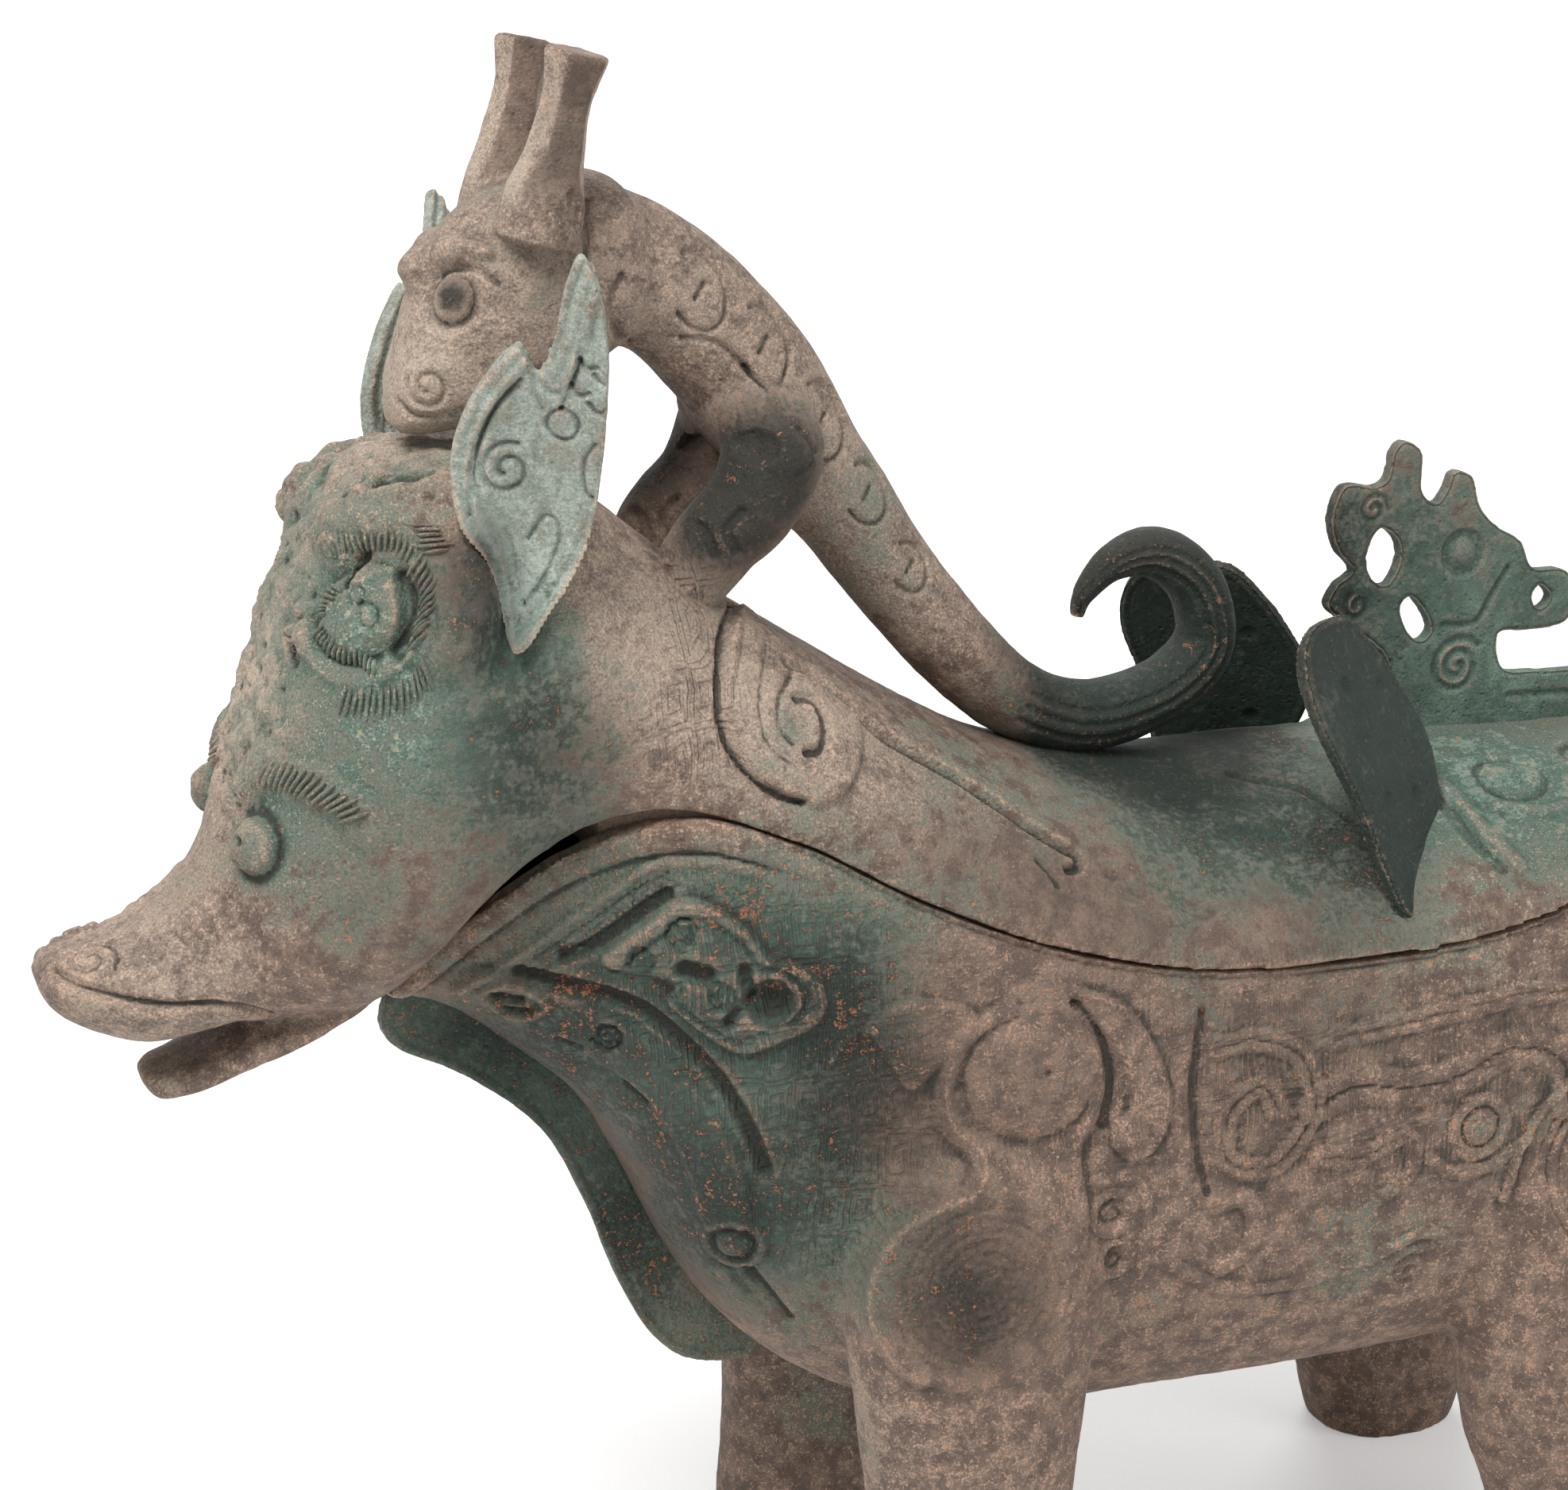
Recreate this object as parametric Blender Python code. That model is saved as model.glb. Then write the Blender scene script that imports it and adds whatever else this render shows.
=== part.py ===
"""Bronze pouring vessel shaped as a four-legged animal, with a lid that lifts off.

X runs along the length with the head towards -X, the animal's left side is -Y, and the feet stand
on Z = 0. Sizes are in millimetres and are turned into metres when a mesh is made.
"""

import math

import bmesh
import bpy
import numpy as np
from mathutils import Matrix, Vector

MM = 0.001

# Overall sizes
LEG_LENGTH = 60.0
BODY_LENGTH = 312.0
BODY_DEPTH = 107.0
BODY_HALF_WIDTH = 60.0
SPOUT_TIP_X = -147.0
RIM_WAVE = 40.0
HEAD_LENGTH = 69.0
HEAD_HALF_WIDTH = 41.0
CROWN_RISE = 111.0
BACK_RISE = 32.0
HANDLE_REACH = 51.0

# Castings and fits
WALL = 4.0
SIDE_BULGE = 0.12
SEAM_GAP = 0.6
SPOUT_GAP = 2.4
JOIN_GAP = 0.3
TONGUE_DEPTH = 7.0
TONGUE_WALL = 3.0
TONGUE_CLEARANCE = 0.6
TONGUE_BITE = 3.0
LID_LEDGE = 5.0
TANG_THICKNESS = 3.0
TANG_WIDTH = 8.0
TANG_LENGTH = 13.0

# Attachments
FRONT_LEG_X = SPOUT_TIP_X + 0.3526 * BODY_LENGTH
HIND_LEG_X = SPOUT_TIP_X + 0.8333 * BODY_LENGTH
LEG_SPREAD = 48.0
FLANGE_THICKNESS = 6.0
EAR_THICKNESS = 4.0
EAR_TURN = 25.0
REAR_EAR_TURN = 35.8
EAR_ROOT = 11.0
EAR_SINK = 5.4
EAR_X = SPOUT_TIP_X + 0.0753 * BODY_LENGTH
EAR_RISE = 0.709 * CROWN_RISE
REAR_EAR_X = SPOUT_TIP_X + 0.6378 * BODY_LENGTH
CREST_THICKNESS = 5.0
DRAGON_X = SPOUT_TIP_X + 0.1571 * BODY_LENGTH
HORN_HEIGHT = 28.3
HORN_SPREAD = 14.5
HORN_LEAN = 13.0

RING = 24
LEG_RING = 16
TUBE_RING = 12

LOW_RIM_Z = LEG_LENGTH + BODY_DEPTH

# Height of the rim along the body: share of the body length, share of the rim wave
RIM = [(0.0, 0.0), (0.05, 0.48), (0.11, 0.87), (0.165, 1.0), (0.235, 0.86), (0.315, 0.52),
       (0.405, 0.225), (0.5, 0.045), (0.6, 0.0), (0.735, 0.06), (0.86, 0.32), (1.0, 0.72)]

# Body stations: rim place, bottom place, bottom height as a share of the depth, half width share
BODY = [(0.0, 0.0, 0.986, 0.15), (0.026, 0.04, 0.949, 0.27), (0.055, 0.085, 0.846, 0.4),
        (0.09, 0.125, 0.738, 0.51), (0.13, 0.155, 0.589, 0.62), (0.17, 0.18, 0.43, 0.7),
        (0.21, 0.215, 0.262, 0.755), (0.26, 0.262, 0.131, 0.81), (0.33, 0.33, 0.037, 0.88),
        (0.42, 0.42, 0.0, 0.94), (0.53, 0.53, 0.0, 0.985), (0.64, 0.64, 0.0, 1.0),
        (0.75, 0.75, 0.005, 0.985), (0.83, 0.84, 0.035, 0.92), (0.89, 0.915, 0.15, 0.8),
        (0.935, 0.968, 0.327, 0.64), (0.965, 1.0, 0.57, 0.46), (0.985, 1.01, 0.86, 0.28),
        (1.0, 1.007, 1.14, 0.1)]

# Head stations: lower and upper contour as shares of the head length (ahead of the spout tip) and
# of the crown rise (above the low rim), half width share, height share of the widest place, roundness
HEAD = [(1.0, 0.076, 1.0, 0.093, 0.12, 0.5, 0.9), (0.964, 0.031, 0.949, 0.124, 0.27, 0.5, 0.9),
        (0.862, -0.013, 0.84, 0.142, 0.38, 0.5, 0.9), (0.71, -0.047, 0.705, 0.173, 0.45, 0.45, 0.9),
        (0.558, -0.036, 0.57, 0.231, 0.51, 0.42, 0.95), (0.42, -0.022, 0.475, 0.324, 0.6, 0.4, 0.95),
        (0.275, -0.03, 0.39, 0.5, 0.73, 0.38, 0.95), (0.145, -0.02, 0.295, 0.68, 0.85, 0.32, 0.95),
        (0.05, 0.01, 0.165, 0.865, 0.94, 0.28, 0.9)]

# Back stations of the lid: seam place and ridge place on the body length, share of the way up from
# the back to the crown, how much the head's width counts, height share of the widest place, roundness
BACK = [(0.021, 0.0, 0.975, 1.0, 0.25, 0.8), (0.055, 0.052, 1.0, 1.0, 0.22, 0.72),
        (0.095, 0.106, 0.957, 1.0, 0.15, 0.75), (0.135, 0.157, 0.795, 0.95, 0.08, 0.8),
        (0.175, 0.215, 0.6, 0.5, 0.03, 0.85), (0.23, 0.272, 0.45, 0.0, 0.0, 0.95),
        (0.31, 0.343, 0.27, 0.0, 0.0, 1.1), (0.41, 0.426, 0.1, 0.0, 0.0, 1.2),
        (0.52, 0.529, 0.01, 0.0, 0.0, 1.28), (0.63, 0.638, 0.0, 0.0, 0.0, 1.3),
        (0.74, 0.744, -0.012, 0.0, 0.0, 1.25), (0.83, 0.83, -0.025, 0.0, 0.0, 1.15),
        (0.9, 0.897, -0.03, 0.0, 0.0, 1.0), (0.95, 0.942, -0.03, 0.0, 0.0, 0.9),
        (0.98, 0.971, -0.015, 0.0, 0.0, 0.8), (0.995, 0.989, 0.0, 0.0, 0.0, 0.8)]

# Lower jaw: ahead of the spout tip, bottom and top above the low rim, half width
JAW = [(49.5, -15.0, -13.0, 5.0), (46.5, -18.0, -11.5, 10.0), (39.0, -16.8, -9.0, 13.0),
       (29.0, -12.6, -3.0, 16.0), (18.0, -7.4, 1.0, 19.0), (7.0, -0.6, 5.0, 20.0)]

# Legs: share of the leg length, share of the body depth, shift along X, shift outwards,
# half length, half width
FRONT_LEG = [(0.0, 0.0, 0.0, 0.0, 19.5, 15.0), (0.1, 0.0, 0.0, 0.0, 21.0, 16.0),
             (0.3, 0.0, 0.8, -0.3, 21.2, 15.5), (0.6, 0.0, 1.5, -0.3, 21.4, 15.0),
             (0.9, 0.0, 1.6, 0.0, 22.2, 15.5), (1.0, 0.16, 1.2, 0.5, 24.8, 16.0),
             (1.0, 0.3, 1.0, 1.2, 27.0, 16.0), (1.0, 0.44, 1.5, 1.5, 28.0, 15.0),
             (1.0, 0.565, 2.0, 1.0, 25.0, 13.0), (1.0, 0.66, 2.5, 0.0, 18.0, 10.5),
             (1.0, 0.715, 2.5, -1.0, 8.0, 7.0)]
HIND_LEG = [(0.0, 0.0, 7.0, 0.0, 18.0, 15.0), (0.1, 0.0, 7.0, 0.0, 20.0, 16.0),
            (0.25, 0.0, 6.5, -0.3, 22.0, 16.0), (0.5, 0.0, 4.0, -0.3, 24.0, 15.5),
            (0.75, 0.0, 1.0, 0.0, 27.0, 15.5), (1.0, 0.0, -0.5, 0.0, 29.0, 16.0),
            (1.0, 0.14, -1.0, 0.5, 30.5, 16.0), (1.0, 0.3, -1.0, 1.0, 31.5, 15.5),
            (1.0, 0.44, 0.0, 1.0, 30.5, 14.5), (1.0, 0.57, 1.0, 0.0, 26.0, 12.0),
            (1.0, 0.66, 1.0, -1.0, 18.0, 9.0), (1.0, 0.72, 1.0, -2.0, 8.0, 6.0)]

# Keel under the spout, from the spout tip and the low rim
FLANGE = [(-0.5, -10.0), (2.0, -3.0), (12.0, -2.0), (42.0, -24.0), (56.0, -54.0), (70.0, -76.0),
          (80.0, -86.0), (79.0, -96.0), (66.0, -95.4), (57.0, -88.7), (50.0, -76.0), (43.1, -57.0),
          (36.4, -42.6), (29.6, -33.3), (22.9, -27.3), (13.0, -20.5), (3.0, -15.2)]

# Handle: share of the reach behind the rump, above the low rim, radius in its plane, half width
HANDLE = [(-0.4, -4.0, 8.0, 8.5), (-0.12, 2.0, 8.0, 9.0), (0.24, 11.0, 8.5, 9.5),
          (0.56, 9.0, 8.5, 9.5), (0.78, -6.0, 8.5, 9.0), (0.832, -25.0, 8.5, 9.0),
          (0.73, -45.0, 8.0, 8.5), (0.45, -61.0, 7.5, 8.0), (0.06, -69.0, 7.5, 8.0),
          (-0.42, -73.0, 7.0, 7.5)]

# Ear outline, up from its lower end and towards the back
EAR = [(0.0, 0.0), (-4.3, 15.0), (-9.0, 25.0), (-11.0, 36.0), (-8.2, 45.3), (-3.8, 52.4), (2.4, 58.5),
       (6.2, 53.0), (9.8, 60.5), (12.1, 70.0), (15.4, 76.8), (18.6, 70.5), (19.8, 58.0), (18.2, 41.0),
       (14.5, 22.0), (7.8, 8.5)]
REAR_EAR = [(6.0, -5.0), (3.0, 8.0), (2.5, 20.0), (0.0, 31.0), (-2.5, 40.0), (-2.6, 48.5), (0.5, 55.5),
            (7.0, 59.5), (16.0, 60.4), (24.0, 58.8), (31.0, 50.5), (36.5, 41.0), (40.0, 33.0),
            (40.5, 25.0), (38.0, 17.0), (34.0, 10.0), (22.0, 6.0), (14.0, 2.0)]

# Crest outline and its openings: along X from the ridge place, above the ridge
CREST_X = SPOUT_TIP_X + 0.8237 * BODY_LENGTH
CREST = [(-24.0, -4.0), (-27.0, 16.0), (-37.0, 25.0), (-43.0, 30.0), (-41.0, 35.0), (-37.2, 38.0),
         (-41.3, 43.0), (-43.0, 50.0), (-40.0, 57.0), (-33.0, 56.3), (-29.5, 58.0), (-28.5, 63.5),
         (-25.6, 66.0), (-21.4, 63.0), (-21.2, 55.0), (-17.3, 51.5), (-14.6, 54.5), (-13.0, 58.3),
         (-8.5, 57.0), (-6.0, 50.0), (-1.2, 45.3), (5.0, 41.5), (8.6, 35.0), (17.0, 34.0), (21.0, 27.5),
         (17.0, 21.5), (7.0, 20.8), (0.4, 20.5), (2.0, 12.5), (10.0, 11.0), (30.0, 10.0), (37.0, 5.0),
         (36.0, -4.0)]
CREST_HOLES = [[(-31.1, 47.0), (-34.0, 41.5), (-32.6, 36.0), (-28.5, 34.0), (-25.6, 39.0),
                (-26.4, 44.0)],
               [(-25.0, 28.5), (-22.5, 22.5), (-19.0, 20.5), (-16.8, 23.0), (-19.0, 27.5),
                (-22.5, 31.0)],
               [(10.5, 31.0), (8.6, 28.3), (10.8, 25.3), (13.6, 28.0)]]

# Dragon body and tail: along X from the dragon's place, above the ridge, radius, half width
DRAGON = [(-5.0, 47.0, 12.0, 11.0), (0.0, 49.0, 15.0, 13.0), (14.0, 54.2, 13.8, 13.0),
          (25.0, 51.8, 13.8, 12.8), (33.5, 46.0, 14.0, 12.8), (42.5, 38.5, 12.6, 12.2),
          (51.0, 33.6, 11.0, 11.2), (59.0, 27.0, 9.8, 10.5), (68.0, 21.0, 9.5, 10.0),
          (78.0, 14.8, 9.0, 9.5), (90.0, 8.8, 8.5, 9.0), (103.0, 6.6, 8.0, 8.8),
          (115.0, 8.6, 7.5, 8.6), (128.9, 14.9, 6.9, 8.4), (135.7, 23.4, 6.2, 8.2),
          (133.7, 34.4, 6.1, 7.8), (128.1, 41.0, 5.9, 7.2), (120.5, 43.6, 5.3, 6.2),
          (112.3, 40.4, 3.9, 4.8), (106.3, 33.5, 2.4, 3.2), (105.0, 28.5, 1.4, 2.0)]

# Dragon head from the dragon's place and the ridge there: lower and upper contour, half width
DRAGON_HEAD = [(-43.0, 19.0, -43.5, 22.0, 5.0), (-41.0, 17.5, -43.5, 26.5, 8.5),
               (-35.0, 17.5, -41.5, 35.0, 11.0), (-26.0, 18.5, -38.5, 45.0, 13.5),
               (-16.0, 22.0, -33.5, 55.0, 16.0), (-8.0, 26.5, -24.0, 63.0, 17.0),
               (-1.0, 30.5, -11.0, 67.5, 17.0), (6.0, 36.0, 1.0, 66.0, 15.5),
               (9.0, 43.0, 7.0, 60.0, 11.0)]

# Dragon foreleg from the dragon's place and the ridge there: along X, outwards, up, radius
FORELEG = [(27.0, 7.0, 22.0, 9.0), (30.9, 14.0, 12.3, 10.4), (26.0, 15.5, 1.5, 9.4),
           (19.4, 15.5, -4.8, 8.8), (14.7, 15.0, -10.4, 8.4), (10.1, 14.5, -17.9, 7.0)]

# Horn: share of the height, radius
HORN = [(-0.3, 8.6), (0.0, 7.8), (0.2, 6.6), (0.45, 5.6), (0.68, 5.0), (0.85, 5.7), (0.95, 6.4),
        (1.0, 6.2)]


def spline(rows, per_gap):
    """Smooth curve through rows of numbers, with per_gap steps between neighbours."""
    rows = np.asarray(rows, dtype=float)
    ends = np.vstack([2 * rows[0] - rows[1], rows, 2 * rows[-1] - rows[-2]])
    made = []
    for index in range(len(rows) - 1):
        before, start, end, after = ends[index:index + 4]
        for step in range(per_gap):
            t = step / per_gap
            made.append(start + 0.5 * t * (end - before
                                           + t * (2 * before - 5 * start + 4 * end - after
                                                  + t * (3 * (start - end) + after - before))))
    made.append(rows[-1])
    return np.array(made)


def value_at(table, place):
    """Value of a smooth curve through (place, value) pairs."""
    xs, ys = np.asarray(table, dtype=float).T
    slopes = np.gradient(ys, xs)
    index = np.clip(np.searchsorted(xs, place) - 1, 0, len(xs) - 2)
    span = xs[index + 1] - xs[index]
    t = (np.clip(place, xs[0], xs[-1]) - xs[index]) / span
    return (ys[index] * (1 + 2 * t) * (1 - t) ** 2 + ys[index + 1] * t * t * (3 - 2 * t)
            + span * t * (1 - t) * (slopes[index] * (1 - t) - slopes[index + 1] * t))


def offset(points, distance):
    """Contour in the mid plane moved to its left by the distance."""
    run = np.gradient(points, axis=0)
    run /= np.linalg.norm(run, axis=1)[:, None]
    return points + distance * np.column_stack([-run[:, 1], run[:, 0]])


def body_x(place):
    return SPOUT_TIP_X + BODY_LENGTH * place


def rim_z(place):
    return LOW_RIM_Z + RIM_WAVE * value_at(RIM, place)


def body_half_width(place):
    return BODY_HALF_WIDTH * value_at([(row[0], row[3]) for row in BODY], place)


def seam_z(place):
    """Lower edge of the lid: close to the rim, with a wider gap over the spout."""
    near_spout = np.clip((0.17 - place) / 0.1, 0.0, 1.0)
    return rim_z(place) + SEAM_GAP + (SPOUT_GAP - SEAM_GAP) * near_spout


def section(flat, crown, half_width, swell, roundness, bulge):
    """Ring across the mid plane: flat edge at one point, round edge at the other."""
    turn = np.linspace(-0.5 * math.pi, 1.5 * math.pi, RING, endpoint=False)
    across = np.cos(turn)
    rise = np.sin(turn)
    reach = np.abs(rise) ** roundness
    height = np.where(rise < 0, swell * (1 - reach), swell + (1 - swell) * reach)
    side = half_width * np.sign(across) * np.abs(across) ** roundness
    side = side * (1 + bulge * np.clip(rise, 0, 1))
    line = np.outer(height, np.asarray(crown) - np.asarray(flat)) + np.asarray(flat)
    return np.column_stack([line[:, 0], side, line[:, 1]])


def mesh_object(name, points, faces):
    """Object from points in millimetres, with its faces turned outwards."""
    mesh = bpy.data.meshes.new(name)
    mesh.from_pydata([Vector(point) * MM for point in points], [], faces)
    work = bmesh.new()
    work.from_mesh(mesh)
    bmesh.ops.remove_doubles(work, verts=work.verts, dist=1e-6)
    bmesh.ops.recalc_face_normals(work, faces=work.faces)
    work.to_mesh(mesh)
    work.free()
    made = bpy.data.objects.new(name, mesh)
    bpy.context.scene.collection.objects.link(made)
    return made


def loft(name, rings):
    """Closed skin over rings of equal count, with a fan over each end."""
    rings = [np.asarray(ring) for ring in rings]
    count = len(rings[0])
    points = [tuple(point) for ring in rings for point in ring]
    faces = []
    for row in range(len(rings) - 1):
        for k in range(count):
            near = (k + 1) % count
            faces.append((row * count + k, row * count + near,
                          (row + 1) * count + near, (row + 1) * count + k))
    for row in (0, len(rings) - 1):
        points.append(tuple(rings[row].mean(axis=0)))
        for k in range(count):
            faces.append((row * count + k, row * count + (k + 1) % count, len(points) - 1))
    return mesh_object(name, points, faces)


def tube_rings(path, radius, half_width, count):
    """Rings square to a path that lies mostly in the mid plane."""
    run = np.gradient(path, axis=0)
    run /= np.linalg.norm(run, axis=1)[:, None]
    turn = np.linspace(0, 2 * math.pi, count, endpoint=False)
    rings = []
    for point, along, r, w in zip(path, run, radius, half_width):
        side = np.array([0.0, 1.0, 0.0])
        side = side - along * along.dot(side)
        side /= np.linalg.norm(side)
        up = np.cross(along, side)
        rings.append(point + np.outer(np.cos(turn) * w, side) + np.outer(np.sin(turn) * r, up))
    return rings


def plate(name, outline, holes, thickness):
    """Flat plate from a smooth closed outline with openings, thickness along its own Z."""
    data = bpy.data.curves.new(name + "_outline", "CURVE")
    data.dimensions = "2D"
    data.fill_mode = "BOTH"
    data.extrude = 0.5 * thickness * MM
    data.resolution_u = 3
    for loop in [outline] + holes:
        line = data.splines.new("BEZIER")
        line.bezier_points.add(len(loop) - 1)
        for knot, (across, up) in zip(line.bezier_points, loop):
            knot.co = (across * MM, up * MM, 0.0)
            knot.handle_left_type = "AUTO"
            knot.handle_right_type = "AUTO"
        line.use_cyclic_u = True
    source = bpy.data.objects.new(name + "_outline", data)
    bpy.context.scene.collection.objects.link(source)
    shape = source.evaluated_get(bpy.context.evaluated_depsgraph_get())
    mesh = bpy.data.meshes.new_from_object(shape)
    bpy.data.objects.remove(source)
    work = bmesh.new()
    work.from_mesh(mesh)
    bmesh.ops.remove_doubles(work, verts=work.verts, dist=1e-6)
    bmesh.ops.recalc_face_normals(work, faces=work.faces)
    work.to_mesh(mesh)
    work.free()
    made = bpy.data.objects.new(name, mesh)
    bpy.context.scene.collection.objects.link(made)
    return made


def box(name, size):
    """Box about its own origin."""
    half = [0.5 * side for side in size]
    points = [(sx * half[0], sy * half[1], sz * half[2])
              for sx in (-1, 1) for sy in (-1, 1) for sz in (-1, 1)]
    faces = [(0, 1, 3, 2), (4, 5, 7, 6), (0, 1, 5, 4), (2, 3, 7, 6), (0, 2, 6, 4), (1, 3, 7, 5)]
    return mesh_object(name, points, faces)


def helper(thing):
    """Mark an object as a shape that only cuts or joins others."""
    thing.hide_render = True
    thing.display_type = "WIRE"
    return thing


def combine(target, other, operation):
    step = target.modifiers.new(operation.lower() + "_" + other.name, "BOOLEAN")
    step.operation = operation
    step.solver = "EXACT"
    step.object = other


def placed(thing, origin, along, up):
    """Put an object's origin at a point with its X along one direction and its Y towards another."""
    along = Vector(along).normalized()
    up = Vector(up)
    up = (up - along * along.dot(up)).normalized()
    frame = Matrix((along, up, along.cross(up))).transposed().to_4x4()
    frame.translation = Vector(origin) * MM
    thing.matrix_world = frame
    return thing


def tang(piece, host, name, origin, along, up, shift, size):
    """Join a tang to a piece and cut the slot for it, with the join gap, in its host."""
    for grow, target, operation in ((0.0, piece, "UNION"), (2 * JOIN_GAP, host, "DIFFERENCE")):
        made = helper(box(name + ("_slot" if grow else ""), [side + grow for side in size]))
        for vertex in made.data.vertices:
            vertex.co += Vector(shift) * MM
        placed(made, origin, along, up)
        combine(target, made, operation)


def body_rings(grow, above):
    """Outer form of the vessel, moved outwards by grow, its flat top raised by above."""
    rows = spline(BODY, 2)
    bottom = np.column_stack([body_x(rows[:, 1]), LEG_LENGTH + BODY_DEPTH * rows[:, 2]])
    bottom = offset(bottom, -grow)
    rings = []
    for row, low in zip(rows, bottom):
        rim = np.array([body_x(row[0]), rim_z(row[0])])
        top = rim + above * (rim - low) / np.linalg.norm(rim - low)
        half_width = max(BODY_HALF_WIDTH * row[3] + grow, 2.0)
        roundness = 0.65 + 0.2 * max(0.0, 1.0 - row[0] / 0.35)
        rings.append(section(top, low, half_width, 0.0, roundness, SIDE_BULGE))
    return rings


def lid_contours():
    """Lower and upper contour, half width, widest place and roundness of the lid, snout to rear."""
    lower, upper, forms = [], [], []
    for low_x, low_z, up_x, up_z, width, swell, roundness in HEAD:
        lower.append((SPOUT_TIP_X - HEAD_LENGTH * low_x, LOW_RIM_Z + CROWN_RISE * low_z))
        upper.append((SPOUT_TIP_X - HEAD_LENGTH * up_x, LOW_RIM_Z + CROWN_RISE * up_z))
        forms.append((HEAD_HALF_WIDTH * width, swell, roundness))
    for seam, ridge, climb, head_share, swell, roundness in BACK:
        lower.append((body_x(seam), seam_z(seam)))
        upper.append((body_x(ridge), LOW_RIM_Z + BACK_RISE + (CROWN_RISE - BACK_RISE) * climb))
        half_width = head_share * HEAD_HALF_WIDTH + (1 - head_share) * body_half_width(seam)
        forms.append((half_width, swell, roundness))
    table = spline(np.column_stack([lower, upper, forms]), 2)
    behind = 2 * len(HEAD)
    table[behind:, 1] = seam_z((table[behind:, 0] - SPOUT_TIP_X) / BODY_LENGTH)
    return table[:, 0:2], table[:, 2:4], table[:, 4:7]


def lid_rings(grow, first, last, ledge):
    """Rings of the lid from one station to another, moved outwards by grow, the floor by ledge."""
    lower, upper, forms = lid_contours()
    lower = offset(lower, -ledge)
    upper = offset(upper, grow)
    rings = []
    for k in range(first, last):
        half_width, swell, roundness = forms[k]
        rings.append(section(lower[k], upper[k], max(half_width + grow, 2.0), max(swell, 0.0),
                             roundness, 0.0))
    return rings


def ridge_z(x):
    """Height of the lid's ridge behind the crown."""
    table = [(body_x(row[1]), BACK_RISE + (CROWN_RISE - BACK_RISE) * row[2]) for row in BACK]
    return LOW_RIM_Z + value_at(table, x)


def dome_half_width(x, z):
    """Half width of the lid's outside at a place in the mid plane."""
    lower, upper, forms = lid_contours()
    span = upper - lower
    share = np.sum((np.array([x, z]) - lower) * span, axis=1) / np.sum(span * span, axis=1)
    miss = np.linalg.norm(lower + share[:, None] * span - np.array([x, z]), axis=1)
    nearest = np.argmin(miss)
    half_width, swell, roundness = forms[nearest]
    reach = np.clip((share[nearest] - swell) / (1 - swell), 0.0, 1.0)
    across = math.sqrt(1 - reach ** (2 / roundness))
    return half_width * across ** roundness


def mouth_rings(first, last, inset, below, above):
    """Upright-sided block along the vessel's mouth, between two places on the body length."""
    rings = []
    for place in np.linspace(first, last, 25):
        side = body_half_width(place) - WALL - TONGUE_CLEARANCE - inset
        low = seam_z(place) - below
        high = seam_z(place) + above
        x = body_x(place)
        rings.append([(x, -side, low), (x, side, low), (x, side, high), (x, -side, high)])
    return rings


for old in list(bpy.data.objects):
    bpy.data.objects.remove(old)

pieces = {}

# Vessel
body = loft("vessel_body", body_rings(0.0, 0.0))
body_hull = helper(loft("body_hull", body_rings(JOIN_GAP, JOIN_GAP)))
combine(body, helper(loft("body_hollow", body_rings(-WALL, 30.0)[:-4])), "DIFFERENCE")
pieces["vessel_body"] = body


def leg_piece(name, table, centre_x, side):
    """Leg with its haunch, fitted to the outside of the body."""
    rings = []
    turn = np.linspace(0, 2 * math.pi, LEG_RING, endpoint=False)
    for down, into, shift, out, half_length, half_width in spline(table, 2):
        x = centre_x + shift + half_length * np.sign(np.cos(turn)) * np.abs(np.cos(turn)) ** 0.85
        y = side * (LEG_SPREAD + out) + half_width * np.sign(np.sin(turn)) * np.abs(np.sin(turn)) ** 0.85
        z = np.full(LEG_RING, LEG_LENGTH * down + BODY_DEPTH * into)
        rings.append(np.column_stack([x, y, z]))
    made = loft(name, rings)
    combine(made, body_hull, "DIFFERENCE")
    pieces[name] = made


for side, word in ((-1, "left"), (1, "right")):
    leg_piece("front_leg_" + word, FRONT_LEG, FRONT_LEG_X, side)
    leg_piece("hind_leg_" + word, HIND_LEG, HIND_LEG_X, side)

flange = plate("chest_flange", FLANGE, [], FLANGE_THICKNESS)
placed(flange, (SPOUT_TIP_X, 0.0, LOW_RIM_Z), (1, 0, 0), (0, 0, 1))
combine(flange, body_hull, "DIFFERENCE")
pieces["chest_flange"] = flange

rows = spline(HANDLE, 2)
path = np.column_stack([body_x(1.0) + HANDLE_REACH * rows[:, 0], np.zeros(len(rows)),
                        LOW_RIM_Z + rows[:, 1]])
handle = loft("handle", tube_rings(path, rows[:, 2], rows[:, 3], TUBE_RING))
combine(handle, body_hull, "DIFFERENCE")
pieces["handle"] = handle

# Lid
whole = len(lid_contours()[0])
lid = loft("lid_shell", lid_rings(0.0, 0, whole, 0.0))
lid_hull = helper(loft("lid_hull", lid_rings(JOIN_GAP, 0, whole, 0.0)))
rows = spline(JAW, 2)
jaw_rings = []
for ahead, bottom, top, half_width in rows:
    x = SPOUT_TIP_X - ahead
    jaw_rings.append(section((x, LOW_RIM_Z + bottom), (x, LOW_RIM_Z + top), half_width, 0.5, 0.9, 0.0))
combine(lid, helper(loft("lower_jaw", jaw_rings)), "UNION")
tongue = mouth_rings(0.12, 0.91, 0.0, TONGUE_DEPTH, TONGUE_BITE)
combine(lid, helper(loft("lid_tongue", tongue)), "UNION")
hollow = lid_rings(-WALL, 10, whole - 8, -LID_LEDGE)
combine(lid, helper(loft("lid_hollow", hollow)), "DIFFERENCE")
mouth = mouth_rings(0.132, 0.898, TONGUE_WALL, 20.0, LID_LEDGE + 3.0)
combine(lid, helper(loft("lid_mouth", mouth)), "DIFFERENCE")
pieces["lid_shell"] = lid

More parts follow.
